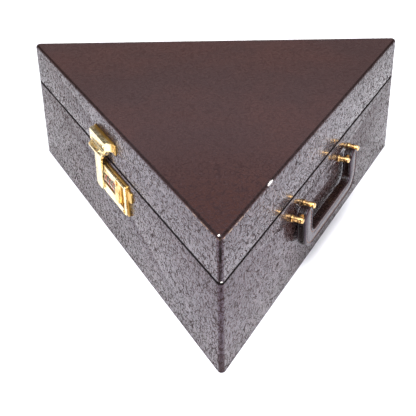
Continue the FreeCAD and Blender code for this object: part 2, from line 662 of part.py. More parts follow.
def release_slide():
    """Button with a sloping upper end on a broad foot that stays behind the case's front."""
    top = SLIDE_Z[1]
    low = SLIDE_Z[0]
    ramp_out, ramp_down = SLIDE_RAMP
    button = profile_x([(SLIDE_FOOT_OUT[0], low), (SLIDE_OUT, low), (SLIDE_OUT, top - ramp_down),
                        (SLIDE_OUT - ramp_out, top)], SLIDE_X)
    button = button.makeFillet(SLIDE_EDGE_RADIUS, front_edges(button, SLIDE_OUT))
    foot = box(SLIDE_FOOT_X, (-SLIDE_FOOT_OUT[1], -SLIDE_FOOT_OUT[0]), SLIDE_FOOT_Z)
    return foot.fuse(button).removeSplitter()


def add_lock(nodes):
    pocket = box(WHEEL_WINDOW_X, (-LOCK_PLATE, POCKET_DEPTH),
                 (WHEEL_Z - POCKET_HALF_HEIGHT, WHEEL_Z + POCKET_HALF_HEIGHT))
    hole = screw_hole(LOCK_SCREW_X, LOCK_SCREW_Z, -LOCK_DEPTH)
    shaft_x = (WHEEL_WINDOW_X[0] - WHEEL_SHAFT_BITE, WHEEL_WINDOW_X[1] + WHEEL_SHAFT_BITE)
    shaft = rod_x(shaft_x, WHEEL_BEHIND_FACE, WHEEL_Z, WHEEL_SHAFT_RADIUS)
    shapes = {
        "lock_plate": lock_plate().cut(pocket).cut(hole),
        "lock_case": lock_case().cut(hole),
        "wheel_shaft": shaft,
        "release_slide": release_slide(),
        "lock_screw": screw(LOCK_SCREW_X, LOCK_SCREW_Z, -LOCK_DEPTH),
    }
    for index in range(WHEEL_COUNT):
        shapes["number_wheel_" + str(index + 1)] = lock_wheel(index)
    for name, shape in shapes.items():
        nodes[name] = placed(shape, "left", x=-LOCK_CENTRE, z=LOCK_Z)
    cutters = placed(compound([pocket, hole, shaft]), "left", x=-LOCK_CENTRE, z=LOCK_Z)
    for cut_node in ("left_wall", "base_covering"):
        nodes[cut_node] = nodes[cut_node].cut(cutters)


# --- Hasp and its block on the lid, with x from the lock's middle and z from the floor ---------------
def profile_x(outline, x_range):
    """Extrude an outline of (out from the face, height) pairs along x."""
    face = polygon_face([Vector(x_range[0], -out, z) for out, z in outline])
    return face.extrude(Vector(x_range[1] - x_range[0], 0, 0))


def hasp_block():
    """Ridged block with a spreading right end, two rivet heads and two lugs for the hasp's pin."""
    low, high = HASP_BLOCK_Z
    left, right = HASP_BLOCK_X
    spread = (left, right + HASP_BLOCK_END_SLOPE)
    block = profile_x([(HASP_PLATE_THICKNESS, low), (HASP_BLOCK_OUT, low),
                       (HASP_BLOCK_OUT, high - HASP_BLOCK_BEVEL), (HASP_BLOCK_OUT - HASP_BLOCK_BEVEL, high),
                       (HASP_PLATE_THICKNESS, high)], spread)
    end_plan = [Vector(right, -HASP_BLOCK_OUT, low), Vector(spread[1], -HASP_PLATE_THICKNESS, low),
                Vector(spread[1], -HASP_BLOCK_OUT, low)]
    block = block.cut(polygon_face(end_plan).extrude(Vector(0, 0, high - low)))
    ridge_pitch = (HASP_RIDGES_OUT[1] - HASP_RIDGES_OUT[0]) / (HASP_RIDGES - 1)
    for index in range(HASP_RIDGES):
        out = HASP_RIDGES_OUT[0] + index * ridge_pitch
        block = block.cut(rod_x(spread, -out, high, HASP_RIDGE_DEPTH))
    front = (-HASP_BLOCK_OUT - HASP_RIVET_HEIGHT, -HASP_BLOCK_OUT)
    rivet_places = (left + HASP_RIVET_INSET, right - HASP_RIVET_INSET)
    rivets = [rod_y(front, x, HASP_RIVET_Z, HASP_RIVET_RADIUS) for x in rivet_places]
    lugs = []
    for lug_x in (left, right - HASP_LUG):
        lug_span = (lug_x, lug_x + HASP_LUG)
        lugs.append(box(lug_span, (-HASP_BLOCK_OUT, -HASP_PLATE_THICKNESS), (HASP_AXIS_Z, low)))
        lugs.append(rod_x(lug_span, -HASP_AXIS_OUT, HASP_AXIS_Z, HASP_KNUCKLE_RADIUS))
    return block.fuse(rivets + lugs).removeSplitter()


def hasp_flap():
    """Knuckle, sloping flap with a finger lip, and the strap that hangs over the lock's left part."""
    knuckle_x = (HASP_BLOCK_X[0] + HASP_LUG + HASP_END_GAP, HASP_BLOCK_X[1] - HASP_LUG - HASP_END_GAP)
    knuckle = rod_x(knuckle_x, -HASP_AXIS_OUT, HASP_AXIS_Z, HASP_KNUCKLE_RADIUS)
    flap = profile_x([(HASP_AXIS_OUT + HASP_KNUCKLE_RADIUS, HASP_AXIS_Z),
                      (HASP_FLAP_OUT, HASP_FLAP_LOW_Z + HASP_FLAP_THICKNESS),
                      (HASP_FLAP_OUT, HASP_FLAP_LOW_Z),
                      (HASP_AXIS_OUT, HASP_AXIS_Z - HASP_KNUCKLE_RADIUS)], HASP_FLAP_X)
    lip = rod_x(HASP_LIP_X, -HASP_LIP_OUT, HASP_LIP_Z, HASP_LIP_RADIUS)
    lip_neck = box(HASP_LIP_X, (-HASP_LIP_OUT, -HASP_AXIS_OUT), (HASP_LIP_Z, HASP_AXIS_Z))
    strap = box(HASP_STRAP_X, (-HASP_STRAP_OUT[1], -HASP_STRAP_OUT[0]), (HASP_STRAP_LOW_Z, HASP_AXIS_Z))
    corners = [edge for edge in strap.Edges
               if edge.BoundBox.ZMax < HASP_STRAP_LOW_Z + TOLERANCE and edge.BoundBox.XLength < TOLERANCE]
    strap = strap.makeFillet(HASP_STRAP_CORNER, corners)
    bore = rod_x(knuckle_x, -HASP_AXIS_OUT, HASP_AXIS_Z, HASP_PIN_RADIUS + RUNNING_FIT)
    return knuckle.fuse([flap, lip, lip_neck, strap]).cut(bore).removeSplitter()


def add_hasp(nodes):
    low, high = HASP_BLOCK_Z
    plate_z = (low - HASP_PLATE_MARGIN, high + HASP_PLATE_MARGIN)
    plate = rounded_plate(HASP_PLATE_X, plate_z, (-HASP_PLATE_THICKNESS, 0), HASP_PLATE_RADIUS)
    screw_z = (low + high) / 2
    hole = screw_hole(HASP_SCREW_X, screw_z, -HASP_PLATE_THICKNESS)
    pin = rod_x(HASP_BLOCK_X, -HASP_AXIS_OUT, HASP_AXIS_Z, HASP_PIN_RADIUS)
    shapes = {
        "hasp_plate": plate.cut(hole),
        "hasp_block": hasp_block().cut(pin),
        "hasp_pin": pin,
        "hasp_screw": screw(HASP_SCREW_X, screw_z, -HASP_PLATE_THICKNESS),
        "hasp": hasp_flap(),
    }
    for name, shape in shapes.items():
        nodes[name] = placed(shape, "left", x=-LOCK_CENTRE)
    for drilled in ("lid_left_wall", "lid_covering"):
        nodes[drilled] = nodes[drilled].cut(placed(hole, "left", x=-LOCK_CENTRE))


def main():
    nodes = {**base_shell(), **lid_shell(), **playing_surfaces(), **playing_pieces()}
    add_hinge(nodes)
    add_handle(nodes)
    add_lock(nodes)
    add_hasp(nodes)
    os.makedirs("parts", exist_ok=True)
    for name, shape in nodes.items():
        shape.exportStep("parts/" + name + ".step")


main()
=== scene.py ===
import json
import math
import random

import bmesh
import bpy
from mathutils import Matrix, Vector


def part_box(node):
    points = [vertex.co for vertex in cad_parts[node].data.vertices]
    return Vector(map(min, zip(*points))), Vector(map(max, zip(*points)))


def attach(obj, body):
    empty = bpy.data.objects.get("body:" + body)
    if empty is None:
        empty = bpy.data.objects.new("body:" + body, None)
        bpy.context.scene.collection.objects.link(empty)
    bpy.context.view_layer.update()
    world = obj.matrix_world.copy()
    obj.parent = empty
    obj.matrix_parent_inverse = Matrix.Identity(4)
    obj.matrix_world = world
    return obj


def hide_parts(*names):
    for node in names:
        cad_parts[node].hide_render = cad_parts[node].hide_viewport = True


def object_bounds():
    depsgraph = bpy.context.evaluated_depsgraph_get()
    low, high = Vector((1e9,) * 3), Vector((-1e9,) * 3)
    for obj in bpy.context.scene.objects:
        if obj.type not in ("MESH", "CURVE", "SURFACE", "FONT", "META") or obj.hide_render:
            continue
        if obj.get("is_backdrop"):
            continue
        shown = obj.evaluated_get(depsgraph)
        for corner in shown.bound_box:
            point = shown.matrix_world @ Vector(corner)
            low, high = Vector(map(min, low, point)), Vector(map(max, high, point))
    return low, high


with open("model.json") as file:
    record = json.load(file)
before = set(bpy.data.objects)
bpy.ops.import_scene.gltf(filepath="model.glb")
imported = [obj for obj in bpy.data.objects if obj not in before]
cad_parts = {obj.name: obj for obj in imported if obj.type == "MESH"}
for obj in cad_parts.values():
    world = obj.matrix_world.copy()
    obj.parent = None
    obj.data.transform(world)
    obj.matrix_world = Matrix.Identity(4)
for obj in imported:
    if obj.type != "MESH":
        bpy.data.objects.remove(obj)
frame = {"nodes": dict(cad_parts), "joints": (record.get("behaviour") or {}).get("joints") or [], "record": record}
cad_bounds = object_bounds()

random.seed(7)

MM = 0.001
UP = Vector((0, 0, 1))
JOIN_DISTANCE = 1e-6  # points closer than this are one point
FLAT_ANGLE = 0.6  # degrees; CAD facets as flat as this become one face
SMOOTH_ANGLE = 32  # degrees; flatter edges are shaded smooth
NOISE_RANGE = (0.3, 0.7)  # nearly all of a noise lies between these

# --- Camera ---
CAMERA_PLACE = (-0.0039, -0.7111, 0.4730)
CAMERA_TURN = -0.48  # degrees to the right of +Y
CAMERA_PITCH = 31.80  # degrees below the horizon
CAMERA_ROLL = -1.08  # degrees
CAMERA_LENS = 76.15  # mm
CAMERA_SENSOR = 36.0  # mm

# --- Lights: name, place, aim, size in metres, power in watts ---
LIGHTS = (
    ("overhead", (0.0, -0.2, 2.4), (0, 0, 0), 2.6, 92),
    ("front_floor", (0.0, -1.0, 1.3), (0, -0.6, 0), 0.9, 29),
    ("front_left", (-1.7, -1.5, 1.7), (0, 0, 0.05), 0.9, 8),
    ("front_right", (1.7, -1.3, 1.5), (0, 0, 0.05), 0.9, 6),
)
LAMP_COLOUR = (0.94, 0.94, 1.0)
WORLD_COLOUR = (0.96, 0.96, 1.0, 1)
WORLD_STRENGTH = 0.22
FLOOR_HALF = 4.0
FLOOR_COLOURS = ((0.90, 0.90, 0.90, 1), (0.93, 0.93, 0.93, 1))

# --- Case, read from the frame ---
LID_LOW, LID_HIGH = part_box("lid_covering")
_, BASE_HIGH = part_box("base_covering")
JOINTS = {joint["name"]: joint for joint in frame["joints"]}
SLOTS = {part["node"]: part["material_slot"] for part in frame["record"]["subparts"]}
NEAR_TIP_Y = LID_LOW.y
TOP_Z = LID_HIGH.z
NEAR_TOP_CORNER = (0, NEAR_TIP_Y, TOP_Z)
TOP_EDGE_RADIUS = 3.0 * MM

# --- Eased edges: bevel widths, and the angles in degrees above which an edge is eased ---
RIM_EASE = 0.5 * MM
RIM_SEGMENTS = 3
HASP_EASE = 0.3 * MM
METAL_EASE = 0.25 * MM
THIN_EASE = 0.2 * MM
SCREW_EASE = 0.12 * MM
ROUND_ANGLE = 50
PLATE_ANGLE = 40
HASP_ANGLE = 35

# --- Leatherette: distances are (all of it, none of it) from the place they are measured from ---
GRAIN_SIZE = 4.0 * MM
GRAIN_DEPTH = 0.07 * MM
GLOSS = (0.08, 0.14)  # roughness of the polished plates
CREASE_DULL = 0.5  # roughness added in creases, along the parting, on the chips and on the darker near corner and the top edges' painted shade
RIM_DULL = 0.6
CHIP_AND_EDGE_DULL = 0.5
SHINE = (0.14, 0.80)  # specular level of a crease and of a plate
SHINE_EXPORTED = 0.6  # stands for it where a varying level can't be kept
SHINE_PARTING_AND_EDGES = 0.2  # shares of the shine left along the parting and the dark edges, and as painted shade far from the near corner and at the foot
SHINE_FAR = 0.30
SHINE_FOOT = 0.45
# painted shade: the shine falls towards the bottom of the case over this height
FOOT_HEIGHT = 28.0 * MM
# painted shade: full shine within the first distance of the near top corner, falling to the far share beyond the
# second
FAR_SHADE_REACH = (0.14, 0.40)
# darker, redder plates round the near top corner, within these distances
NEAR_TOP_REACH = (0.03, 0.17)
PRESSED = 0.55  # how far the creases are flattened on the top
# painted shade: the parting is painted near black within these distances of the middle of the gap
PARTING_SHADE = (1.0 * MM, 2.0 * MM)
CORNER_DARK = (0.5 * MM, 1.7 * MM)
CORNER_ON_BASE = 0.45
# painted shade on the top edges' rounding: the largest share of near black
EDGE_SHADE = 0.75
WEAR_DROP = 0.82  # where the wear runs, down the top edge's radius
WEAR_HALF = (0.2 * MM, 0.9 * MM)
WEAR_REACH = (0.008, 0.085)
WEAR_MOST = 0.65
TIP_CHIP = (-0.8 * MM, 2.6 * MM, -1.0 * MM)  # from the near top corner
EDGE_CHIP = (2.4 * MM, 1.4 * MM, -0.9 * MM)  # start of the right top edge, from that corner
# chips along the right top edge: distance from its start, inner and outer radius, all in mm
EDGE_CHIPS = ((80.0, 0.4, 1.3), (82.0, 0.6, 1.7), (84.2, 0.8, 1.9), (86.4, 0.7, 1.7), (88.4, 0.4, 1.3))
CHIP_BITE = 0.35  # how deep the ragged outline cuts into a chip

# --- Handle ---
HANDLE_ARM = 16.7 * MM
HANDLE_GRIP = 13.9 * MM
HANDLE_OUTER_RADIUS = 20.0 * MM
HANDLE_INNER_RADIUS = 8.0 * MM
HANDLE_ARM_END_DROP = 3.0 * MM
# outline points on the straight runs of the grip, of an arm, on the corners and on an arm's end
GRIP_POINTS, ARM_POINTS, CORNER_POINTS, END_POINTS = 14, 6, 12, 16
# layers out from the middle: inset in mm, share of the half depth
HANDLE_SIDE = ((0.25, 0.00), (0.0, 0.30), (0.0, 0.42), (0.28, 0.48), (0.0, 0.54), (0.0, 0.66))
HANDLE_FACE = ((0.35, 0.80), (0.9, 0.93), (1.5, 0.97), (2.1, 0.90), (2.5, 0.80), (3.1, 0.78), (3.8, 0.83),
               (4.8, 0.90), (5.8, 0.93), (6.6, 0.94))
STITCH_LENGTH = 2.3 * MM
STITCH_PITCH = 3.3 * MM
STITCH_RADIUS = 0.34 * MM
STITCH_INSET = 3.1 * MM
STITCH_RISE = 0.80  # share of the half depth at which the stitches lie
# a thread: share of its length, share of its radius
THREAD_RINGS = ((0.0, 0.25), (0.18, 0.9), (0.5, 1.0), (0.82, 0.9), (1.0, 0.25))
THREAD_SIDES = 6
THREAD_FLATNESS = 0.8

# --- Lock ---
WHEEL_BEHIND_FACE = 1.2 * MM  # axis of the number wheels, behind the left wall's face
LOCK_FACE_OUT = 4.0 * MM
TARNISH_OUT = (1.0 * MM, LOCK_FACE_OUT - 0.6 * MM)
TARNISH_DULL = 0.12
WHEEL_RADIUS = 5.9 * MM
DIGITS = 10
WHEEL_STEP = 3  # digits by which each wheel is turned past the one before
DIGIT_HEIGHT = 2.7 * MM
FIGURE_DEPTH = 0.12 * MM
FIGURE_SHARE = 0.7  # a figure's height as a share of its font size
FIGURE_CURVE = 4  # steps in each curve of a figure
FLAP_X = (-15.4 * MM, 7.1 * MM)  # sloping face of the hasp's flap, from the hasp's joint
FLAP_OUT = (2.0 * MM, 5.4 * MM)
FLAP_RISE = (0.0, -3.6 * MM)
FLAP_MARGIN = (2.4 * MM, 1.0 * MM)  # along and up the slope, both ends together
FLAP_LINE = 0.55 * MM
FLAP_RELIEF = 0.5 * MM
FLAP_MIDDLE_BAR = (0.72, 0.7)  # shares of the width and of a line
FLAP_SHORT_BAR = (0.6, 0.5)  # shares of a line and of the height
FLAP_SHORT_BARS = 4  # on each side of the middle
FLAP_SPACES = 12  # spaces between short bars in the whole width
SCREW_SLOT = (2.9 * MM, 0.55 * MM, 0.12 * MM)
HEAD_FLAT = 0.02 * MM  # points this close to a screw's front are on its head

# --- Playing pieces ---
CHECKERS = 15
CHECKER_THICKNESS = 6.0 * MM
# radius and depth below the face, mm; then in from the rim and depth below the face, mm
CHECKER_RINGS = ((0.0, 0.6), (8.4, 0.6), (9.1, 0.05), (9.5, 0.0), (11.4, 0.0), (11.7, 0.4), (12.1, 0.4),
                 (12.4, 0.0))
CHECKER_RIM = ((1.5, 0.0), (0.75, 0.2), (0.2, 0.75), (0.0, 1.5))
CHECKER_GROOVE = (0.25 * MM, 0.35 * MM)  # depth and half width
CHECKER_SEGMENTS = 48
PIP_RADIUS = 1.15 * MM
PIP_SPREAD = 0.25  # of a die's size, from the middle of its face
PIP_FLATNESS = 0.06
PIP_SEGMENTS = (20, 8)
CUBE_FIGURE = 0.85  # of a doubling cube's half size
CUP_WALL = 2.6 * MM
# in from the outside and up from the foot, mm; in from the outside and down from the mouth, mm
CUP_FOOT = ((1.4, 0.0), (0.4, 0.5), (0.0, 1.6), (0.0, 5.0), (0.7, 5.7))
CUP_BAND = ((0.7, 7.0), (0.0, 6.2), (0.0, 1.4), (0.5, 0.3), (1.3, 0.0))
# out from the inner wall and down from the mouth, mm
CUP_MOUTH = ((0.4, 0.3), (0.0, 1.4))
CUP_FLOOR_ROUND = 1.0 * MM
CUP_SEGMENTS = 72
CUP_STITCHES = 40
CUP_STITCH_SHARE = 0.62  # of the pitch
CUP_STITCH_DROP = 4.0 * MM
CUP_STITCH_SINK = 0.1 * MM
CUP_STITCH_RADIUS = 0.3 * MM

# --- Colours, linear ---
# near black, for the painted shade along the parting and on the top edges' rounding, and for the darker line down
# the near corner
BROWN_BLACK = (0.008, 0.005, 0.004, 1)
BROWN_DARK = (0.024, 0.012, 0.011, 1)
BROWN = (0.040, 0.020, 0.018, 1)
BROWN_WARM = (0.051, 0.022, 0.018, 1)
BROWN_NEAR_TOP = (0.036, 0.013, 0.009, 1)
TAN_WEAR = (0.42, 0.27, 0.16, 1)
WHITE_WEAR = (0.80, 0.76, 0.70, 1)
SHEEN_TINT = (0.78, 0.76, 1.0, 1)  # the leather's shine is a little lavender


# --- Node helpers ---
def new_material(name):
    material = bpy.data.materials.new(name)
    material.use_nodes = True
    tree = material.node_tree
    return material, tree, tree.nodes["Principled BSDF"]


def connect(tree, node, name, value):
    """Give an input a socket to follow, or a plain value."""
    if isinstance(value, bpy.types.NodeSocket):
        tree.links.new(value, node.inputs[name])
    else:
        node.inputs[name].default_value = value


def add(tree, kind, inputs, **settings):
    node = tree.nodes.new(kind)
    for name, value in settings.items():
        setattr(node, name, value)
    for name, value in inputs.items():
        connect(tree, node, name, value)
    return node


def place_of(tree):
    """Metres in the frame at rest, as every piece's origin is the frame's own."""
    return tree.nodes.new("ShaderNodeTexCoord").outputs["Object"]


def facing_of(tree):
    """Where the surface faces at rest, whatever the pose."""
    return tree.nodes.new("ShaderNodeTexCoord").outputs["Normal"]


def height_of(tree, vector):
    return add(tree, "ShaderNodeSeparateXYZ", {"Vector": vector}).outputs["Z"]


def stretched(tree, vector, scale):
    return add(tree, "ShaderNodeMapping", {"Vector": vector, "Scale": scale}).outputs["Vector"]


def noise(tree, vector, scale, detail=3.0, roughness=0.55, distortion=0.0):
    node = add(tree, "ShaderNodeTexNoise", {"Vector": vector, "Scale": scale, "Detail": detail,
                                            "Roughness": roughness, "Distortion": distortion})
    return node.outputs["Fac"]


def cells(tree, vector, scale):
    """Distance to the nearest border between cells, in cells."""
    node = add(tree, "ShaderNodeTexVoronoi", {"Vector": vector, "Scale": scale}, feature="DISTANCE_TO_EDGE")
    return node.outputs["Distance"]


def remap(tree, value, low, high, to_low=0.0, to_high=1.0):
    """Ease a value from one range to another, held at its ends."""
    node = add(tree, "ShaderNodeMapRange", {"Value": value, "From Min": low, "From Max": high,
                                            "To Min": to_low, "To Max": to_high})
    node.interpolation_type = "SMOOTHSTEP"
    return node.outputs["Result"]


def spread(tree, value, to_low=0.0, to_high=1.0):
    """Stretch the usual range of a noise over another range."""
    return remap(tree, value, *NOISE_RANGE, to_low, to_high)


def maths(tree, operation, first, second=0.0):
    return add(tree, "ShaderNodeMath", {0: first, 1: second}, operation=operation).outputs["Value"]


def times(tree, first, second):
    return maths(tree, "MULTIPLY", first, second)


def plus(tree, first, second):
    return maths(tree, "ADD", first, second)


def larger(tree, first, second):
    return maths(tree, "MAXIMUM", first, second)


def blend(tree, fac, first, second):
    """The first colour where fac is 0, the second where it is 1."""
    node = add(tree, "ShaderNodeMix", {}, data_type="RGBA")
    for socket, value in ((0, fac), (6, first), (7, second)):  # the colour sockets of a Mix node
        connect(tree, node, socket, value)
    return node.outputs[2]


def vector_maths(tree, operation, output, inputs):
    return add(tree, "ShaderNodeVectorMath", inputs, operation=operation).outputs[output]


def warped(tree, vector, scale, amount):
    """The place pushed about by a soft noise, so that cells and lines aren't regular."""
    node = add(tree, "ShaderNodeTexNoise", {"Vector": vector, "Scale": scale, "Detail": 2.0})
    centred = vector_maths(tree, "SUBTRACT", "Vector", {0: node.outputs["Color"], 1: (0.5, 0.5, 0.5)})
    pushed = vector_maths(tree, "SCALE", "Vector", {0: centred, "Scale": amount})
    return vector_maths(tree, "ADD", "Vector", {0: vector, 1: pushed})


def set_surface(tree, shader, colour, roughness, relief, depth, strength=1.0):
    """Give a shader its colour, its roughness and a bump of that depth."""
    bump = add(tree, "ShaderNodeBump", {"Height": relief, "Distance": depth, "Strength": strength})
    connect(tree, shader, "Base Color", colour)
    connect(tree, shader, "Roughness", roughness)
    connect(tree, shader, "Normal", bump.outputs["Normal"])


def near_point(tree, place, point, inner, outer):
    """1 within inner of a point, falling to 0 at outer."""
    distance = vector_maths(tree, "DISTANCE", "Value", {0: place, 1: tuple(point)})
    return remap(tree, distance, inner, outer, 1.0, 0.0)


# --- Leathers ---
def crease_net(tree, place, bend, cell_scale, line, gaps):
    """Narrow bent lines (0) between cells (1), with gaps where a slow noise is high."""
    bent = warped(tree, place, *bend)
    lines = remap(tree, cells(tree, bent, cell_scale), *line)
    gap_scale, *gap_range = gaps
    return larger(tree, lines, remap(tree, noise(tree, place, gap_scale, detail=2.0), *gap_range))


def embossed_grain(tree, place, size):
    """Flat shiny plates of about that size (1), parted by narrow creases (0), and their relief."""
    deep = crease_net(tree, place, bend=(0.45 / size, 1.3 * size), cell_scale=1 / size,
                      line=(0.02, 0.11), gaps=(0.8 / size, 0.48, 0.60))
    shallow = crease_net(tree, place, bend=(0.7 / size, 0.9 * size), cell_scale=1.7 / size,
                         line=(0.02, 0.12), gaps=(1.1 / size, 0.47, 0.57))
    plates = times(tree, deep, remap(tree, shallow, 0.0, 1.0, to_low=0.4))
    pebble = times(tree, noise(tree, place, 1.6 / size, detail=1.0), 0.12)
    fine = times(tree, noise(tree, place, 6.0 / size, detail=1.0), 0.02)
    return plates, plus(tree, plus(tree, plates, pebble), fine)


def edge_wear(tree, place, height):
    """Tan wear along the top edge, strongest at the near corner, broken up by noise."""
    edge_z = TOP_Z - TOP_EDGE_RADIUS * WEAR_DROP
    near, far = WEAR_HALF
    below = remap(tree, height, edge_z - far, edge_z - near)
    above = remap(tree, height, edge_z + near, edge_z + far, 1.0, 0.0)
    close = near_point(tree, place, NEAR_TOP_CORNER, *WEAR_REACH)
    ragged = noise(tree, place, scale=160, detail=3.0, roughness=0.6)
    patches = remap(tree, ragged, 0.44, 0.60, to_high=WEAR_MOST)
    return times(tree, times(tree, below, above), times(tree, close, patches))


def near_corner(tree, place, height):
    """The upright near corner, darker and duller in uneven patches, more so on the lid than on the base."""
    flat = stretched(tree, place, (1, 1, 0))
    line = near_point(tree, flat, (0, NEAR_TIP_Y, 0), *CORNER_DARK)
    on_lid = remap(tree, height, BASE_HIGH.z, LID_LOW.z, to_low=CORNER_ON_BASE)
    uneven = remap(tree, noise(tree, place, scale=120), 0.35, 0.55, to_low=0.45)
    return times(tree, times(tree, line, on_lid), uneven)


def rounded_edge(tree, upward):
    """Painted shade on the rounding between walls and top, picked by how far the surface faces up."""
    off_walls = remap(tree, upward, 0.45, 0.75)
    off_top = remap(tree, upward, 0.96, 0.995, EDGE_SHADE, 0.0)
    return times(tree, off_walls, off_top)


def scuffs(tree, place):
    """Pale chips: the near top corner, a run on the right top edge and one on the near corner's rim."""
    axis = JOINTS["handle_swing"]["axis"]
    along_right = Vector((-axis[0], -axis[1], 0))
    corner = Vector(NEAR_TOP_CORNER)
    edge = corner + Vector(EDGE_CHIP)
    chips = [(corner + Vector(TIP_CHIP), 0.8, 1.5, 0.25)]
    chips += [(edge + along_right * distance * MM, inner, outer, CHIP_BITE)
              for distance, inner, outer in EDGE_CHIPS]
    chips += [(Vector((0.6 * MM, NEAR_TIP_Y, LID_LOW.z + 0.4 * MM)), 0.5, 1.3, 0.30)]
    ragged = noise(tree, place, scale=900, detail=3.0, roughness=0.6)
    total = 0.0
    for point, inner, outer, bite in chips:
        spot = near_point(tree, place, point, inner * MM, outer * MM)
        bitten = maths(tree, "SUBTRACT", spot, times(tree, ragged, bite))
        total = larger(tree, remap(tree, bitten, 0.2, 0.5), total)
    return total


def leatherette():
    """Glossy dark brown embossed sheet over the whole case, dull in its creases and along the rims, with painted
    shade along the parting, on the top edges' rounding, towards the far end and at the foot.
    """
    material, tree, shader = new_material("leatherette")
    place = place_of(tree)
    height = height_of(tree, place)
    upward = height_of(tree, facing_of(tree))

    plates, relief = embossed_grain(tree, place, GRAIN_SIZE)
    # Round the near top corner the plates are darker and redder and the creases stay.
    near_top_tone = near_point(tree, place, NEAR_TOP_CORNER, *NEAR_TOP_REACH)
    on_top = remap(tree, upward, 0.8, 0.98, to_high=PRESSED)
    pressed = times(tree, on_top, remap(tree, near_top_tone, 0.0, 0.8, 1.0, 0.0))
    plates = larger(tree, plates, pressed)
    # Painted shade: near black within a millimetre or two of the parting, as shade in the gap between lid and
    # base.
    from_parting = maths(tree, "ABSOLUTE", maths(tree, "SUBTRACT", height, (BASE_HIGH.z + LID_LOW.z) / 2))
    rim = remap(tree, from_parting, *PARTING_SHADE, 1.0, 0.0)
    # The darker near corner together with the painted shade on the top edges' rounding.
    dark_corner_and_edge_shade = larger(tree, near_corner(tree, place, height), rounded_edge(tree, upward))
    chips = scuffs(tree, place)

    patchy = remap(tree, noise(tree, place, scale=9.0, detail=4.0, roughness=0.6), 0.35, 0.68)
    plate_colour = blend(tree, near_top_tone, blend(tree, patchy, BROWN, BROWN_WARM), BROWN_NEAR_TOP)
    colour = blend(tree, plates, BROWN_DARK, plate_colour)
    # Painted shade along the parting.
    colour = blend(tree, rim, colour, BROWN_BLACK)
    # Painted shade on the rounding of the top edges, and the darker line down the upright near corner.
    colour = blend(tree, dark_corner_and_edge_shade, colour, BROWN_BLACK)
    colour = blend(tree, edge_wear(tree, place, height), colour, TAN_WEAR)
    colour = blend(tree, chips, colour, WHITE_WEAR)

    smear = spread(tree, noise(tree, place, scale=22.0, detail=4.0), *GLOSS)
    dull = larger(tree, remap(tree, plates, 0.0, 1.0, CREASE_DULL, 0.0), times(tree, rim, RIM_DULL))
    dull = larger(tree, dull, times(tree, larger(tree, chips, dark_corner_and_edge_shade), CHIP_AND_EDGE_DULL))
    set_surface(tree, shader, colour, plus(tree, smear, dull), relief, GRAIN_DEPTH)

    shine = remap(tree, plates, 0.2, 1.0, *SHINE)
    # Less shine along the parting and the top edges' rounding, as part of their painted shade, and down the near
    # corner.
    kept = remap(tree, larger(tree, rim, dark_corner_and_edge_shade), 0.0, 1.0, 1.0, SHINE_PARTING_AND_EDGES)
    # Painted shade: less shine towards the far end of the case, as if it stood further from the light.
    far_shade = remap(tree, near_point(tree, place, NEAR_TOP_CORNER, *FAR_SHADE_REACH), 0.0, 1.0, to_low=SHINE_FAR)
    # Painted shade: less shine near the bottom of the base, where shade falls by the floor.
    foot_shade = remap(tree, height, 0.0, FOOT_HEIGHT, to_low=SHINE_FOOT)
    shader.inputs["Specular IOR Level"].default_value = SHINE_EXPORTED
    connect(tree, shader, "Specular IOR Level",
            times(tree, times(tree, shine, times(tree, kept, far_shade)), foot_shade))
    shader.inputs["Specular Tint"].default_value = SHEEN_TINT
    return material


def plain_leather(name, low, high, roughness, grain, depth, coat=0.0):
    """Leather with a fine pebble, for the handle, cups, points and underside."""
    material, tree, shader = new_material(name)
    place = place_of(tree)
    bent = warped(tree, place, 0.5 / grain, 0.8 * grain)
    pebbles = remap(tree, cells(tree, bent, 1 / grain), 0.0, 0.32)
    cloudy = noise(tree, place, scale=60.0, detail=4.0, roughness=0.6)
    fine = noise(tree, place, 2.5 / grain)
    relief = plus(tree, times(tree, pebbles, 0.7), times(tree, fine, 0.3))
    colour = blend(tree, spread(tree, cloudy), low, high)
    creased = remap(tree, pebbles, 0.0, 0.6, 0.35, 0.0)
    uneven = spread(tree, cloudy, roughness * 0.85, roughness * 1.15)
    set_surface(tree, shader, blend(tree, creased, colour, low), uneven, relief, depth, 0.8)
    shader.inputs["Coat Weight"].default_value = coat
    shader.inputs["Coat Roughness"].default_value = 0.12
    shader.inputs["Specular Tint"].default_value = SHEEN_TINT
    return material


def raw_edge():
    """Burnished leather on the handle's sides, nearly black."""
    material, tree, shader = new_material("raw_edge")
    fibre = noise(tree, place_of(tree), scale=700.0)
    colour = blend(tree, spread(tree, fibre), (0.004, 0.002, 0.002, 1), (0.013, 0.005, 0.004, 1))
    set_surface(tree, shader, colour, spread(tree, fibre, 0.16, 0.30), fibre, 0.06 * MM, 0.6)
    shader.inputs["Specular IOR Level"].default_value = 0.32
    return material


def thread(name, low, high):
    """Waxed thread with a fine twist."""
    material, tree, shader = new_material(name)
    twist = noise(tree, place_of(tree), scale=2600.0, detail=1.0)
    colour = blend(tree, twist, low, high)
    set_surface(tree, shader, colour, spread(tree, twist, 0.45, 0.65), twist, 0.12 * MM, 0.7)
    return material


# --- Felt, wood, resin, metal ---
def felt(name, low, high):
    """Short fibres over soft clumps, with a cloth's sheen."""
    material, tree, shader = new_material(name)
    place = place_of(tree)
    fibres = noise(tree, place, scale=1500.0, detail=4.0, roughness=0.75, distortion=0.6)
    clumps = noise(tree, place, scale=240.0, detail=4.0, roughness=0.7)
    mixed = plus(tree, times(tree, fibres, 0.6), times(tree, clumps, 0.4))
    colour = blend(tree, remap(tree, mixed, 0.35, 0.65), low, high)
    set_surface(tree, shader, colour, spread(tree, fibres, 0.85, 1.0), mixed, 0.5 * MM, 0.8)
    shader.inputs["Sheen Weight"].default_value = 0.35
    shader.inputs["Sheen Roughness"].default_value = 0.5
    return material


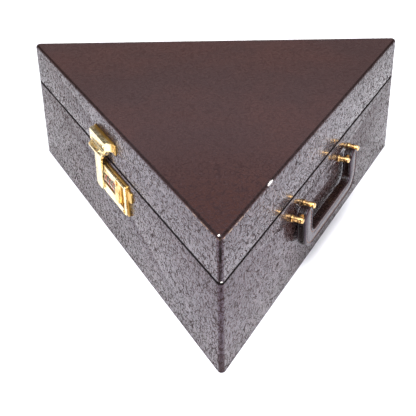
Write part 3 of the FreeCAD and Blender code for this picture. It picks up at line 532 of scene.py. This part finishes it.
def plywood():
    """Pale wood with long grain and dark pores along X."""
    material, tree, shader = new_material("plywood")
    place = place_of(tree)
    grain = noise(tree, stretched(tree, place, (18, 260, 260)), scale=1.0, detail=5.0, roughness=0.6,
                  distortion=0.8)
    pores = noise(tree, stretched(tree, place, (150, 2200, 2200)), scale=1.0, detail=2.0)
    colour = blend(tree, spread(tree, grain), (0.36, 0.22, 0.11, 1), (0.58, 0.41, 0.24, 1))
    dark_pores = remap(tree, pores, 0.55, 0.7, to_high=0.5)
    colour = blend(tree, dark_pores, colour, (0.22, 0.12, 0.06, 1))
    set_surface(tree, shader, colour, spread(tree, grain, 0.55, 0.7), pores, 0.1 * MM, 0.6)
    return material


def resin(name, low, high, vein):
    """Polished cast resin with soft cloudy veins."""
    material, tree, shader = new_material(name)
    place = place_of(tree)
    clouds = noise(tree, warped(tree, place, 60.0, 12.0 * MM), scale=70.0, detail=5.0, roughness=0.6,
                   distortion=0.5)
    veins = remap(tree, cells(tree, warped(tree, place, 50.0, 16.0 * MM), 60.0), 0.0, 0.05, 1.0, 0.0)
    colour = blend(tree, remap(tree, clouds, 0.35, 0.65), low, high)
    colour = blend(tree, times(tree, veins, 0.35), colour, vein)
    ripple = noise(tree, place, scale=700.0, detail=2.0)
    set_surface(tree, shader, colour, spread(tree, clouds, 0.16, 0.26), ripple, 0.03 * MM, 0.4)
    shader.inputs["Coat Weight"].default_value = 0.4
    shader.inputs["Coat Roughness"].default_value = 0.08
    return material


def out_from_left_wall(tree, place):
    """Distance out from the left wall's face, measured from the first number wheel."""
    joint = JOINTS["wheel_1_turn"]
    inward = UP.cross(Vector(joint["axis"]).normalized())
    depth = vector_maths(tree, "DOT_PRODUCT", "Value", {0: place, 1: tuple(inward)})
    return maths(tree, "SUBTRACT", inward.dot(Vector(joint["pos_m"])) - WHEEL_BEHIND_FACE, depth)


def metal(name, low, high, smooth, dull, brush=(1, 1, 1), depth=0.02 * MM, tarnish=None):
    """Metal whose tone and polish wander a little, with fine scratches drawn out along the brushing."""
    material, tree, shader = new_material(name)
    place = place_of(tree)
    scratches = noise(tree, stretched(tree, place, brush), scale=900.0, detail=4.0, roughness=0.7)
    tone = noise(tree, place, scale=130.0, detail=4.0, roughness=0.6)
    colour = blend(tree, remap(tree, tone, 0.32, 0.68), low, high)
    polish = plus(tree, times(tree, scratches, 0.5), times(tree, tone, 0.5))
    rough = remap(tree, polish, 0.35, 0.65, smooth, dull)
    if tarnish:
        stain = remap(tree, out_from_left_wall(tree, place), *TARNISH_OUT, 1.0, 0.0)
        colour = blend(tree, stain, colour, tarnish)
        rough = plus(tree, rough, times(tree, stain, TARNISH_DULL))
    set_surface(tree, shader, colour, rough, scratches, depth, 0.5)
    shader.inputs["Metallic"].default_value = 1.0
    return material


def enamel(name, low, high):
    """Fired paint in engraved numbers, pips and marks."""
    material, tree, shader = new_material(name)
    speckle = noise(tree, place_of(tree), scale=1800.0, detail=2.0)
    colour = blend(tree, speckle, low, high)
    set_surface(tree, shader, colour, spread(tree, speckle, 0.25, 0.45), speckle, 0.02 * MM, 0.4)
    return material


# --- Finishes: dark and light tone, then what each maker asks for after them ---
LEATHERS = {
    "bottom_cloth": ((0.022, 0.012, 0.010, 1), (0.045, 0.026, 0.021, 1), 0.55, 1.6 * MM, 0.2 * MM),
    "light_inlay": ((0.32, 0.21, 0.11, 1), (0.47, 0.33, 0.19, 1), 0.5, 1.3 * MM, 0.12 * MM),
    "dark_inlay": ((0.060, 0.012, 0.007, 1), (0.11, 0.025, 0.014, 1), 0.48, 1.3 * MM, 0.12 * MM),
    "cup_leather": ((0.045, 0.018, 0.011, 1), (0.085, 0.036, 0.020, 1), 0.42, 1.5 * MM, 0.2 * MM, 0.2),
    "handle_leather": ((0.016, 0.007, 0.006, 1), (0.036, 0.015, 0.012, 1), 0.26, 2.2 * MM, 0.10 * MM),
}
THREADS = {
    "thread": ((0.15, 0.060, 0.030, 1), (0.36, 0.17, 0.085, 1)),
    "pale_thread": ((0.42, 0.30, 0.17, 1), (0.62, 0.48, 0.30, 1)),
}
FELTS = {
    "lining_felt": ((0.16, 0.075, 0.035, 1), (0.27, 0.14, 0.07, 1)),
    "field_felt": ((0.006, 0.032, 0.016, 1), (0.016, 0.068, 0.036, 1)),
}
RESINS = {
    "light_resin": ((0.50, 0.38, 0.22, 1), (0.66, 0.54, 0.35, 1), (0.34, 0.22, 0.11, 1)),
    "dark_resin": ((0.035, 0.010, 0.007, 1), (0.085, 0.026, 0.017, 1), (0.16, 0.06, 0.035, 1)),
    "cube_resin": ((0.68, 0.58, 0.41, 1), (0.80, 0.71, 0.54, 1), (0.55, 0.42, 0.26, 1)),
}
METALS = {
    "lip_metal": ((0.50, 0.33, 0.12, 1), (0.64, 0.45, 0.19, 1), 0.22, 0.36, (1, 1, 14)),
    "hinge_brass": ((0.52, 0.34, 0.12, 1), (0.68, 0.48, 0.20, 1), 0.20, 0.34, (14, 1, 1)),
    "steel": ((0.42, 0.42, 0.42, 1), (0.60, 0.60, 0.59, 1), 0.20, 0.32, (1, 1, 8)),
    "screw_brass": ((0.55, 0.36, 0.13, 1), (0.72, 0.51, 0.22, 1), 0.16, 0.28),
    "handle_brass": ((0.66, 0.38, 0.14, 1), (0.86, 0.60, 0.27, 1), 0.20, 0.36),
    "lock_gold": ((0.82, 0.66, 0.35, 1), (0.95, 0.83, 0.55, 1), 0.18, 0.34, (1, 1, 1), 0.012 * MM,
                  (0.56, 0.35, 0.09, 1)),
    "slide_gold": ((0.72, 0.46, 0.15, 1), (0.88, 0.66, 0.30, 1), 0.20, 0.36),
    "wheel_metal": ((0.34, 0.27, 0.20, 1), (0.58, 0.49, 0.38, 1), 0.30, 0.48),
}
ENAMELS = {
    "red_enamel": ((0.55, 0.015, 0.015, 1), (0.80, 0.04, 0.03, 1)),
    "dark_enamel": ((0.010, 0.008, 0.008, 1), (0.03, 0.02, 0.02, 1)),
    "pale_enamel": ((0.70, 0.66, 0.58, 1), (0.84, 0.80, 0.72, 1)),
}
MATERIALS = {"leatherette": leatherette(), "raw_edge": raw_edge(), "plywood": plywood()}
for maker, finishes in ((plain_leather, LEATHERS), (thread, THREADS), (felt, FELTS), (resin, RESINS),
                        (metal, METALS), (enamel, ENAMELS)):
    MATERIALS.update({name: maker(name, *values) for name, values in finishes.items()})


# --- Mesh helpers ---
def mesh_from(build, name):
    mesh = bpy.data.meshes.new(name)
    build.to_mesh(mesh)
    build.free()
    return mesh


def smooth(mesh, angle=SMOOTH_ANGLE):
    """Smooth shading that keeps edges sharper than an angle."""
    mesh.polygons.foreach_set("use_smooth", [True] * len(mesh.polygons))
    mesh.set_sharp_from_angle(angle=math.radians(angle))


def put(build, name, body, materials, slot_name, replaced=(), angle=SMOOTH_ANGLE):
    """Link a smoothed piece that rides on a body and takes the finishes it is given; the slot name is not used."""
    mesh = mesh_from(build, name)
    smooth(mesh, angle)
    piece = bpy.data.objects.new(name, mesh)
    bpy.context.scene.collection.objects.link(piece)
    for material in materials:
        mesh.materials.append(material)
    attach(piece, body)
    if replaced:
        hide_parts(*replaced)
    return piece


def body_of(node):
    bodies = frame["record"]["behaviour"]["bodies"]
    return next(body for body, members in bodies.items() if node in members)


def eased(node, width, angle, segments=2, material=None):
    """A copy of a CAD piece with its hard edges eased, in place of the plain one."""
    build = bmesh.new()
    build.from_mesh(frame["nodes"][node].data)
    bmesh.ops.remove_doubles(build, verts=build.verts, dist=JOIN_DISTANCE)
    bmesh.ops.dissolve_limit(build, angle_limit=math.radians(FLAT_ANGLE), verts=build.verts,
                             edges=build.edges)
    finish = material or MATERIALS[SLOTS[node]]
    piece = put(build, node + "_eased", body_of(node), [finish], SLOTS[node], (node,))
    bevel = piece.modifiers.new("ease", "BEVEL")
    bevel.width = width
    bevel.segments = segments
    bevel.limit_method = "ANGLE"
    bevel.angle_limit = math.radians(angle)
    depsgraph = bpy.context.evaluated_depsgraph_get()
    final = bpy.data.meshes.new_from_object(piece.evaluated_get(depsgraph))
    piece.modifiers.clear()
    piece.data = final
    smooth(final)


def side_frame(origin, across):
    """Frame on a case side: x across to the right as seen from outside, y into the case, z up."""
    across = Vector(across).normalized()
    inward = UP.cross(across)
    matrix = Matrix((across, inward, UP)).transposed().to_4x4()
    matrix.translation = Vector(origin)
    return matrix


def local_box(node, place):
    """Lowest and highest corners of a CAD node in another frame."""
    back = place.inverted()
    corners = [back @ vertex.co for vertex in frame["nodes"][node].data.vertices]
    low = Vector([min(corner[axis] for corner in corners) for axis in range(3)])
    high = Vector([max(corner[axis] for corner in corners) for axis in range(3)])
    return low, high


def turned_to(normal, origin):
    """Frame with z along a normal."""
    matrix = Vector(normal).to_track_quat("Z", "Y").to_matrix().to_4x4()
    matrix.translation = origin
    return matrix


def join_rings(build, rings):
    """Faces between each closed ring of points and the next."""
    for low, high in zip(rings, rings[1:]):
        for step in range(len(low)):
            following = (step + 1) % len(low)
            build.faces.new((low[step], low[following], high[following], high[step]))


def add_thread(build, start, end, radius, flat_axis):
    """A short thread: a tapered tube with pointed ends, flattened a little along an axis."""
    along = end - start
    length = along.length
    along.normalize()
    other = along.cross(flat_axis).normalized()
    rings = []
    for share, size in THREAD_RINGS:
        centre = start + along * (length * share)
        ring = []
        for step in range(THREAD_SIDES):
            angle = 2 * math.pi * step / THREAD_SIDES
            rise = flat_axis * (math.sin(angle) * radius * THREAD_FLATNESS)
            offset = other * (math.cos(angle) * radius) + rise
            ring.append(build.verts.new(centre + offset * size))
        rings.append(ring)
    join_rings(build, rings)
    build.faces.new(list(reversed(rings[0])))
    build.faces.new(rings[-1])


def add_lathe(build, profile, place, segments):
    """Turn an outline of (radius, height), both ends on the axis, about a frame's z axis."""
    rings = []
    for radius, height in profile[1:-1]:
        ring = []
        for step in range(segments):
            angle = 2 * math.pi * step / segments
            point = Vector((radius * math.cos(angle), radius * math.sin(angle), height))
            ring.append(build.verts.new(place @ point))
        rings.append(ring)
    join_rings(build, rings)
    for ring, (_, height) in ((rings[0], profile[0]), (rings[-1], profile[-1])):
        middle = build.verts.new(place @ Vector((0, 0, height)))
        for step in range(segments):
            build.faces.new((ring[step], ring[(step + 1) % segments], middle))


def add_box(build, place, size):
    """A box about a frame's origin, its edges rounded."""
    made = bmesh.ops.create_cube(build, size=1.0, matrix=place @ Matrix.Diagonal((*size, 1)))
    edges = dict.fromkeys(edge for vertex in made["verts"] for edge in vertex.link_edges)
    rounding = min(size) * 0.3
    bmesh.ops.bevel(build, geom=list(edges), offset=rounding, segments=2, affect="EDGES", profile=0.5)


# --- Handle ---
def arc_points(centre, radius, start, end, count):
    """Points on an arc between two angles in degrees, without the last one."""
    points = []
    for step in range(count):
        angle = math.radians(start + (end - start) * step / count)
        points.append((centre[0] + radius * math.cos(angle), centre[1] + radius * math.sin(angle)))
    return points


def line_points(start, end, count):
    """Points on a line, without the last one."""
    return [(start[0] + (end[0] - start[0]) * step / count, start[1] + (end[1] - start[1]) * step / count)
            for step in range(count)]


def bail_outline(half_width, bottom, margin):
    """The handle's U outline, drawn in by a margin; the same number of points at every margin."""
    half = half_width - margin
    arm = HANDLE_ARM - 2 * margin
    inner = half - arm
    low = bottom + margin
    inner_low = bottom + HANDLE_GRIP - margin
    outer_radius = HANDLE_OUTER_RADIUS - margin
    inner_radius = HANDLE_INNER_RADIUS + margin
    inner_centre = (inner - inner_radius, inner_low + inner_radius)
    arm_end_z = -HANDLE_ARM_END_DROP
    right = line_points((0, low), (half - outer_radius, low), GRIP_POINTS)
    right += arc_points((half - outer_radius, low + outer_radius), outer_radius, -90, 0, CORNER_POINTS)
    right += line_points((half, low + outer_radius), (half, arm_end_z), ARM_POINTS)
    right += arc_points((half - arm / 2, arm_end_z), arm / 2, 0, 180, END_POINTS)
    right += line_points((inner, arm_end_z), (inner, inner_low + inner_radius), ARM_POINTS)
    right += arc_points(inner_centre, inner_radius, 0, -90, CORNER_POINTS)
    right += line_points((inner - inner_radius, inner_low), (0, inner_low), GRIP_POINTS)
    left = [(-x, z) for x, z in reversed(right[1:])]
    return right + [(0, inner_low)] + left


def fill_between_runs(build, loop):
    """Join the outer run of a U outline with its inner run, on the right half and on the left."""
    half_count = len(loop) // 2
    for step in (1, -1):
        for index in range(half_count // 2):
            outer = (loop[step * index], loop[step * (index + 1)])
            inner = (loop[step * (half_count - index - 1)], loop[step * (half_count - index) % len(loop)])
            build.faces.new(dict.fromkeys((*outer, *inner)))


def handle_body(place, low, high):
    """Two padded leather faces with a raised bead round the edge, over stacked side layers."""
    half_width = (high.x - low.x) / 2
    middle_y = (low.y + high.y) / 2
    half_depth = (high.y - low.y) / 2
    build = bmesh.new()
    for sign in (-1, 1):
        loops = []
        for margin, share in HANDLE_SIDE + HANDLE_FACE:
            outline = bail_outline(half_width, low.z, margin * MM)
            y = middle_y + sign * half_depth * share
            loops.append([build.verts.new(place @ Vector((x, y, z))) for x, z in outline])
        for layer, (first, second) in enumerate(zip(loops, loops[1:]), 1):
            for step in range(len(first)):
                following = (step + 1) % len(first)
                corners = (first[step], first[following], second[following], second[step])
                added = build.faces.new(corners if sign < 0 else reversed(corners))
                added.material_index = int(layer < len(HANDLE_SIDE))
        fill_between_runs(build, loops[-1])
    bmesh.ops.remove_doubles(build, verts=build.verts, dist=JOIN_DISTANCE)
    bmesh.ops.recalc_face_normals(build, faces=build.faces)
    return build


def along_loop(points, distance):
    """The point at a distance along a closed line of points, and the line's whole length."""
    closed = points + points[:1]
    lengths = [(second - first).length for first, second in zip(closed, closed[1:])]
    total = sum(lengths)
    distance %= total
    for first, second, length in zip(closed, closed[1:], lengths):
        if distance <= length:
            return first.lerp(second, distance / length), total
        distance -= length
    return closed[-1], total


def handle_stitches(place, low, high):
    """Saddle stitching in the groove beside the bead, on both faces."""
    half_width = (high.x - low.x) / 2
    middle_y = (low.y + high.y) / 2
    half_depth = (high.y - low.y) / 2
    outline = [Vector((x, 0, z)) for x, z in bail_outline(half_width, low.z, STITCH_INSET)]
    _, total = along_loop(outline, 0.0)
    count = int(total / STITCH_PITCH)
    build = bmesh.new()
    outward = (place.to_3x3() @ Vector((0, 1, 0))).normalized()
    for sign in (-1, 1):
        y = middle_y + sign * half_depth * STITCH_RISE
        for index in range(count):
            ends = []
            for distance in (index * total / count, index * total / count + STITCH_LENGTH):
                point, _ = along_loop(outline, distance)
                ends.append(place @ Vector((point.x, y, point.z)))
            add_thread(build, ends[0], ends[1], STITCH_RADIUS, outward * sign)
    return build


def make_handle():
    joint = JOINTS["handle_swing"]
    place = side_frame(joint["pos_m"], [-value for value in joint["axis"]])
    low, high = local_box("handle_leather", place)
    put(handle_body(place, low, high), "handle_grip", "handle",
        [MATERIALS["handle_leather"], MATERIALS["raw_edge"]], "handle_leather",
        ("handle_leather", "handle_core"), angle=50)
    put(handle_stitches(place, low, high), "handle_stitching", "handle", [MATERIALS["thread"]],
        "handle_leather", angle=60)
    for node in ("handle_posts", "handle_collars", "handle_pins"):
        eased(node, METAL_EASE, ROUND_ANGLE)


# --- Lock ---
def text_mesh(words, height):
    """Numbers as a solid mesh, centred on the origin and facing along z."""
    curve = bpy.data.curves.new("figure", "FONT")
    curve.body = words
    curve.size = height / FIGURE_SHARE
    curve.extrude = FIGURE_DEPTH
    curve.align_x = "CENTER"
    curve.align_y = "CENTER"
    curve.resolution_u = FIGURE_CURVE
    holder = bpy.data.objects.new("figure", curve)
    bpy.context.scene.collection.objects.link(holder)
    depsgraph = bpy.context.evaluated_depsgraph_get()
    mesh = bpy.data.meshes.new_from_object(holder.evaluated_get(depsgraph))
    bpy.data.objects.remove(holder)
    return mesh


def make_wheel(index):
    """Red figures round the rim of a number wheel."""
    joint = JOINTS["wheel_%d_turn" % index]
    place = side_frame(joint["pos_m"], joint["axis"])
    stand = Matrix.Rotation(math.radians(90), 4, "X")
    outward = Matrix.Translation((0, -WHEEL_RADIUS, 0))
    build = bmesh.new()
    for digit in range(DIGITS):
        figure = text_mesh(str(digit), DIGIT_HEIGHT)
        turn = Matrix.Rotation(2 * math.pi * (digit + index * WHEEL_STEP) / DIGITS, 4, "X")
        figure.transform(place @ turn @ outward @ stand)
        build.from_mesh(figure)
    put(build, "wheel_%d_figures" % index, "wheel_%d" % index, [MATERIALS["red_enamel"]], "wheel_metal")
    eased("number_wheel_%d" % index, THIN_EASE, ROUND_ANGLE)


def flap_face():
    """Frame on the middle of the hasp's sloping flap with z out of it, and its width and height."""
    joint = JOINTS["hasp_flip"]
    place = side_frame(joint["pos_m"], [abs(joint["axis"][0]), -abs(joint["axis"][1]), 0])
    top = Vector((FLAP_X[0], -FLAP_OUT[0], FLAP_RISE[0]))
    bottom = Vector((FLAP_X[1], -FLAP_OUT[1], FLAP_RISE[1]))
    along = Vector((1, 0, 0))
    up_slope = Vector((0, top.y - bottom.y, top.z - bottom.z))
    width = bottom.x - top.x
    height = up_slope.length
    up_slope.normalize()
    face = Matrix((along, up_slope, along.cross(up_slope))).transposed().to_4x4()
    face.translation = (top + bottom) / 2
    return place @ face, width, height


def flap_engraving():
    """Raised border and a plain chased pattern on the hasp's sloping flap."""
    face, width, height = flap_face()
    width -= FLAP_MARGIN[0]
    height -= FLAP_MARGIN[1]
    line = FLAP_LINE
    bars = [((0, side * height / 2), (width, line)) for side in (-1, 1)]
    bars += [((side * width / 2, 0), (line, height + line)) for side in (-1, 1)]
    bars += [((0, 0), (width * FLAP_MIDDLE_BAR[0], line * FLAP_MIDDLE_BAR[1]))]
    short_bar = (line * FLAP_SHORT_BAR[0], height * FLAP_SHORT_BAR[1])
    for side in (-1, 1):
        for step in range(1, FLAP_SHORT_BARS + 1):
            bars.append(((side * step * width / FLAP_SPACES, 0), short_bar))
    build = bmesh.new()
    for (x, y), size in bars:
        add_box(build, face @ Matrix.Translation((x, y, 0)), (*size, FLAP_RELIEF))
    put(build, "hasp_flap_engraving", "hasp", [MATERIALS["slide_gold"]], "lock_gold")


def separate_solids(build):
    """The points of each separate solid, in the order of their first points."""
    left = set(build.verts)
    for first in build.verts:
        if first not in left:
            continue
        left.remove(first)
        group = [first]
        for vertex in group:
            for edge in vertex.link_edges:
                other = edge.other_vert(vertex)
                if other in left:
                    left.remove(other)
                    group.append(other)
        yield [vertex.co for vertex in group]


def screw_slots(node, name, normal):
    """A dark slot across each screw head of a node, one for each solid in it."""
    normal = Vector(normal).normalized()
    build = bmesh.new()
    build.from_mesh(frame["nodes"][node].data)
    bmesh.ops.remove_doubles(build, verts=build.verts, dist=JOIN_DISTANCE)
    slots = bmesh.new()
    for points in separate_solids(build):
        front = max(point.dot(normal) for point in points)
        flat = [point for point in points if front - point.dot(normal) < HEAD_FLAT]
        middle = sum(flat, Vector()) / len(flat)
        turn = Matrix.Rotation(random.uniform(0, math.pi), 4, "Z")
        add_box(slots, turned_to(normal, middle) @ turn, SCREW_SLOT)
    build.free()
    put(slots, name, body_of(node), [MATERIALS["dark_enamel"]], SLOTS[node], angle=0)


def make_lock():
    for node in ("lock_case", "lock_plate", "hasp_plate"):
        eased(node, METAL_EASE, PLATE_ANGLE)
    eased("release_slide", METAL_EASE, PLATE_ANGLE, material=MATERIALS["slide_gold"])
    for node in ("hasp_block", "hasp"):
        eased(node, HASP_EASE, HASP_ANGLE)
    for node in ("lock_screw", "hasp_screw"):
        eased(node, SCREW_EASE, ROUND_ANGLE)
    for index in (1, 2, 3):
        make_wheel(index)
    flap_engraving()
    outward = -UP.cross(Vector(JOINTS["wheel_1_turn"]["axis"]).normalized())
    screw_slots("lock_screw", "lock_screw_slot", outward)
    screw_slots("hasp_screw", "hasp_screw_slot", outward)


# --- Playing pieces ---
def make_checkers(node):
    """Fifteen turned checkers, each with a dished middle inside two turned rings."""
    low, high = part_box(node)
    radius = (high.z - low.z) / 2
    half = CHECKER_THICKNESS / 2
    face = [(at * MM, half - below * MM) for at, below in CHECKER_RINGS]
    face += [(radius - inset * MM, half - below * MM) for inset, below in CHECKER_RIM]
    groove_depth, groove_half = CHECKER_GROOVE
    groove = [(radius - groove_depth, groove_half), (radius - groove_depth, -groove_half)]
    profile = face + groove + [(at, -height) for at, height in reversed(face)]
    build = bmesh.new()
    pitch = (high.x - low.x - CHECKER_THICKNESS) / (CHECKERS - 1)
    for index in range(CHECKERS):
        middle = Vector((low.x + half + index * pitch, (low.y + high.y) / 2, (low.z + high.z) / 2))
        add_lathe(build, profile, turned_to((1, 0, 0), middle), CHECKER_SEGMENTS)
    bmesh.ops.recalc_face_normals(build, faces=build.faces)
    put(build, node + "_turned", "base", [MATERIALS[SLOTS[node]]], SLOTS[node], (node,), angle=40)


def pip_places(number):
    """Where the pips of a face lie, in steps from its middle."""
    places = [(0, 0)] if number % 2 else []
    if number > 1:
        places += [(-1, -1), (1, 1)]
    if number > 3:
        places += [(-1, 1), (1, -1)]
    if number == 6:
        places += [(-1, 0), (1, 0)]
    return places


def cube_faces(middle, half):
    """A cube's six faces as frames with z outward, in the order of a die's 1 to 6."""
    normals = [(0, 0, 1), (0, -1, 0), (1, 0, 0), (-1, 0, 0), (0, 1, 0), (0, 0, -1)]
    return [turned_to(normal, middle + Vector(normal) * half) for normal in normals]


def make_pips(node, enamel_name):
    """Shallow painted pips on the two dice of a node, which lie at its box's opposite corners."""
    low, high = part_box(node)
    size = high.z - low.z
    half = Vector((size / 2, size / 2, size / 2))
    flat = Matrix.Diagonal((1, 1, PIP_FLATNESS, 1))
    round_segments, rise_segments = PIP_SEGMENTS
    build = bmesh.new()
    for middle in (low + half, high - half):
        for number, face in enumerate(cube_faces(middle, size / 2), 1):
            for x, y in pip_places(number):
                centre = face @ Matrix.Translation((x * size * PIP_SPREAD, y * size * PIP_SPREAD, 0))
                bmesh.ops.create_uvsphere(build, u_segments=round_segments, v_segments=rise_segments,
                                          radius=PIP_RADIUS, matrix=centre @ flat)
    put(build, node + "_pips", "base", [MATERIALS[enamel_name]], SLOTS[node], angle=60)


def make_doubling_numbers():
    low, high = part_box("doubling_cube")
    half = (high.z - low.z) / 2
    build = bmesh.new()
    for number, face in zip(("64", "2", "4", "8", "16", "32"), cube_faces((low + high) / 2, half)):
        figure = text_mesh(number, half * CUBE_FIGURE)
        figure.transform(face)
        build.from_mesh(figure)
    put(build, "doubling_cube_numbers", "base", [MATERIALS["dark_enamel"]], "cube_resin")


def cup_profile(radius, height):
    """A cup's outline from the middle of its foot, up its outside and down to its floor's middle."""
    inner = radius - CUP_WALL
    profile = [(0.0, 0.0)]
    profile += [(radius - inset * MM, up * MM) for inset, up in CUP_FOOT]
    profile += [(radius - inset * MM, height - down * MM) for inset, down in CUP_BAND]
    profile += [(inner + out * MM, height - down * MM) for out, down in CUP_MOUTH]
    profile += [(inner, CUP_WALL + CUP_FLOOR_ROUND), (inner - CUP_FLOOR_ROUND, CUP_WALL)]
    return profile + [(0.0, CUP_WALL)]


def cup_stitches(foot, radius, height):
    """A row of threads round a cup below its mouth."""
    row_height = height - CUP_STITCH_DROP
    build = bmesh.new()
    for index in range(CUP_STITCHES):
        ends = []
        for share in (0.0, CUP_STITCH_SHARE):
            angle = 2 * math.pi * (index + share) / CUP_STITCHES
            ends.append(foot + Vector((radius * math.cos(angle), radius * math.sin(angle), row_height)))
        outward = ((ends[0] + ends[1]) / 2 - foot - UP * row_height).normalized()
        sink = outward * CUP_STITCH_SINK
        add_thread(build, ends[0] - sink, ends[1] - sink, CUP_STITCH_RADIUS, outward)
    return build


def make_cup(node):
    """A leather dice cup with rolled rims, a thicker foot and a row of stitches below the mouth."""
    low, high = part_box(node)
    radius = (high.x - low.x) / 2
    height = high.z - low.z
    foot = Vector(((low.x + high.x) / 2, (low.y + high.y) / 2, low.z))
    build = bmesh.new()
    add_lathe(build, cup_profile(radius, height), Matrix.Translation(foot), CUP_SEGMENTS)
    bmesh.ops.recalc_face_normals(build, faces=build.faces)
    put(build, node + "_turned", "base", [MATERIALS["cup_leather"]], "cup_leather", (node,), angle=45)
    put(cup_stitches(foot, radius, height), node + "_stitches", "base", [MATERIALS["pale_thread"]],
        "cup_leather", angle=60)


def make_playing_pieces():
    make_checkers("light_checkers")
    make_checkers("dark_checkers")
    make_pips("light_dice", "dark_enamel")
    make_pips("dark_dice", "pale_enamel")
    make_doubling_numbers()
    make_cup("left_dice_cup")
    make_cup("right_dice_cup")


# --- Case shell and inside ---
def make_case():
    for node in ("base_covering", "lid_covering"):
        eased(node, RIM_EASE, ROUND_ANGLE, RIM_SEGMENTS)
    for node in ("hinge_leaf_base", "hinge_leaf_lid"):
        eased(node, METAL_EASE, ROUND_ANGLE)
    screw_slots("hinge_screws_base", "hinge_base_screw_slots", (0, 1, 0))
    screw_slots("hinge_screws_lid", "hinge_lid_screw_slots", (0, 1, 0))
    eased("base_lip", HASP_EASE, ROUND_ANGLE)
    for node in ("base_points_light", "base_points_dark", "lid_points_light", "lid_points_dark"):
        eased(node, THIN_EASE, ROUND_ANGLE)


def finish_cad_nodes():
    """Every CAD piece still shown gets its own finish."""
    for name, node in frame["nodes"].items():
        node.data.materials.clear()
        node.data.materials.append(MATERIALS[SLOTS[name]])
        if not node.hide_render:
            smooth(node.data)


# --- Stage ---
def make_floor():
    material, tree, shader = new_material("floor")
    cloudy = noise(tree, place_of(tree), scale=3.0, detail=2.0)
    connect(tree, shader, "Base Color", blend(tree, cloudy, *FLOOR_COLOURS))
    connect(tree, shader, "Roughness", spread(tree, cloudy, 0.8, 0.9))
    build = bmesh.new()
    bmesh.ops.create_grid(build, x_segments=1, y_segments=1, size=FLOOR_HALF)
    mesh = mesh_from(build, "floor")
    floor = bpy.data.objects.new("floor", mesh)
    bpy.context.scene.collection.objects.link(floor)
    mesh.materials.append(material)
    floor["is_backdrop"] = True


def make_light(name, place, aim, size, power):
    """A square soft light turned to a point."""
    lamp = bpy.data.lights.new(name, "AREA")
    lamp.shape = "SQUARE"
    lamp.size = size
    lamp.energy = power
    lamp.color = LAMP_COLOUR
    holder = bpy.data.objects.new(name, lamp)
    holder.location = place
    holder.rotation_euler = (Vector(place) - Vector(aim)).to_track_quat("Z", "Y").to_euler()
    bpy.context.scene.collection.objects.link(holder)


def make_lights():
    for light in LIGHTS:
        make_light(*light)
    world = bpy.data.worlds.new("studio")
    world.use_nodes = True
    background = world.node_tree.nodes["Background"]
    background.inputs["Color"].default_value = WORLD_COLOUR
    background.inputs["Strength"].default_value = WORLD_STRENGTH
    bpy.context.scene.world = world


def make_camera():
    turn = math.radians(CAMERA_TURN)
    pitch = math.radians(CAMERA_PITCH)
    roll = math.radians(CAMERA_ROLL)
    forward = Vector((math.sin(turn) * math.cos(pitch), math.cos(turn) * math.cos(pitch), -math.sin(pitch)))
    right = Vector((math.cos(turn), -math.sin(turn), 0))
    up = right.cross(forward)
    rolled_right = right * math.cos(roll) + up * math.sin(roll)
    rolled_up = up * math.cos(roll) - right * math.sin(roll)
    matrix = Matrix((rolled_right, rolled_up, -forward)).transposed().to_4x4()
    matrix.translation = CAMERA_PLACE
    camera = bpy.data.cameras.new("camera")
    camera.lens = CAMERA_LENS
    camera.sensor_width = CAMERA_SENSOR
    holder = bpy.data.objects.new("camera", camera)
    holder.matrix_world = matrix
    bpy.context.scene.collection.objects.link(holder)
    bpy.context.scene.camera = holder
    bpy.context.scene.view_settings.view_transform = "Standard"


make_camera()
make_case()
make_handle()
make_lock()
make_playing_pieces()
finish_cad_nodes()
make_floor()
make_lights()

boxes = {"cad": cad_bounds, "visual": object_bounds()}
{name: [list(corner) for corner in box] for name, box in boxes.items()}
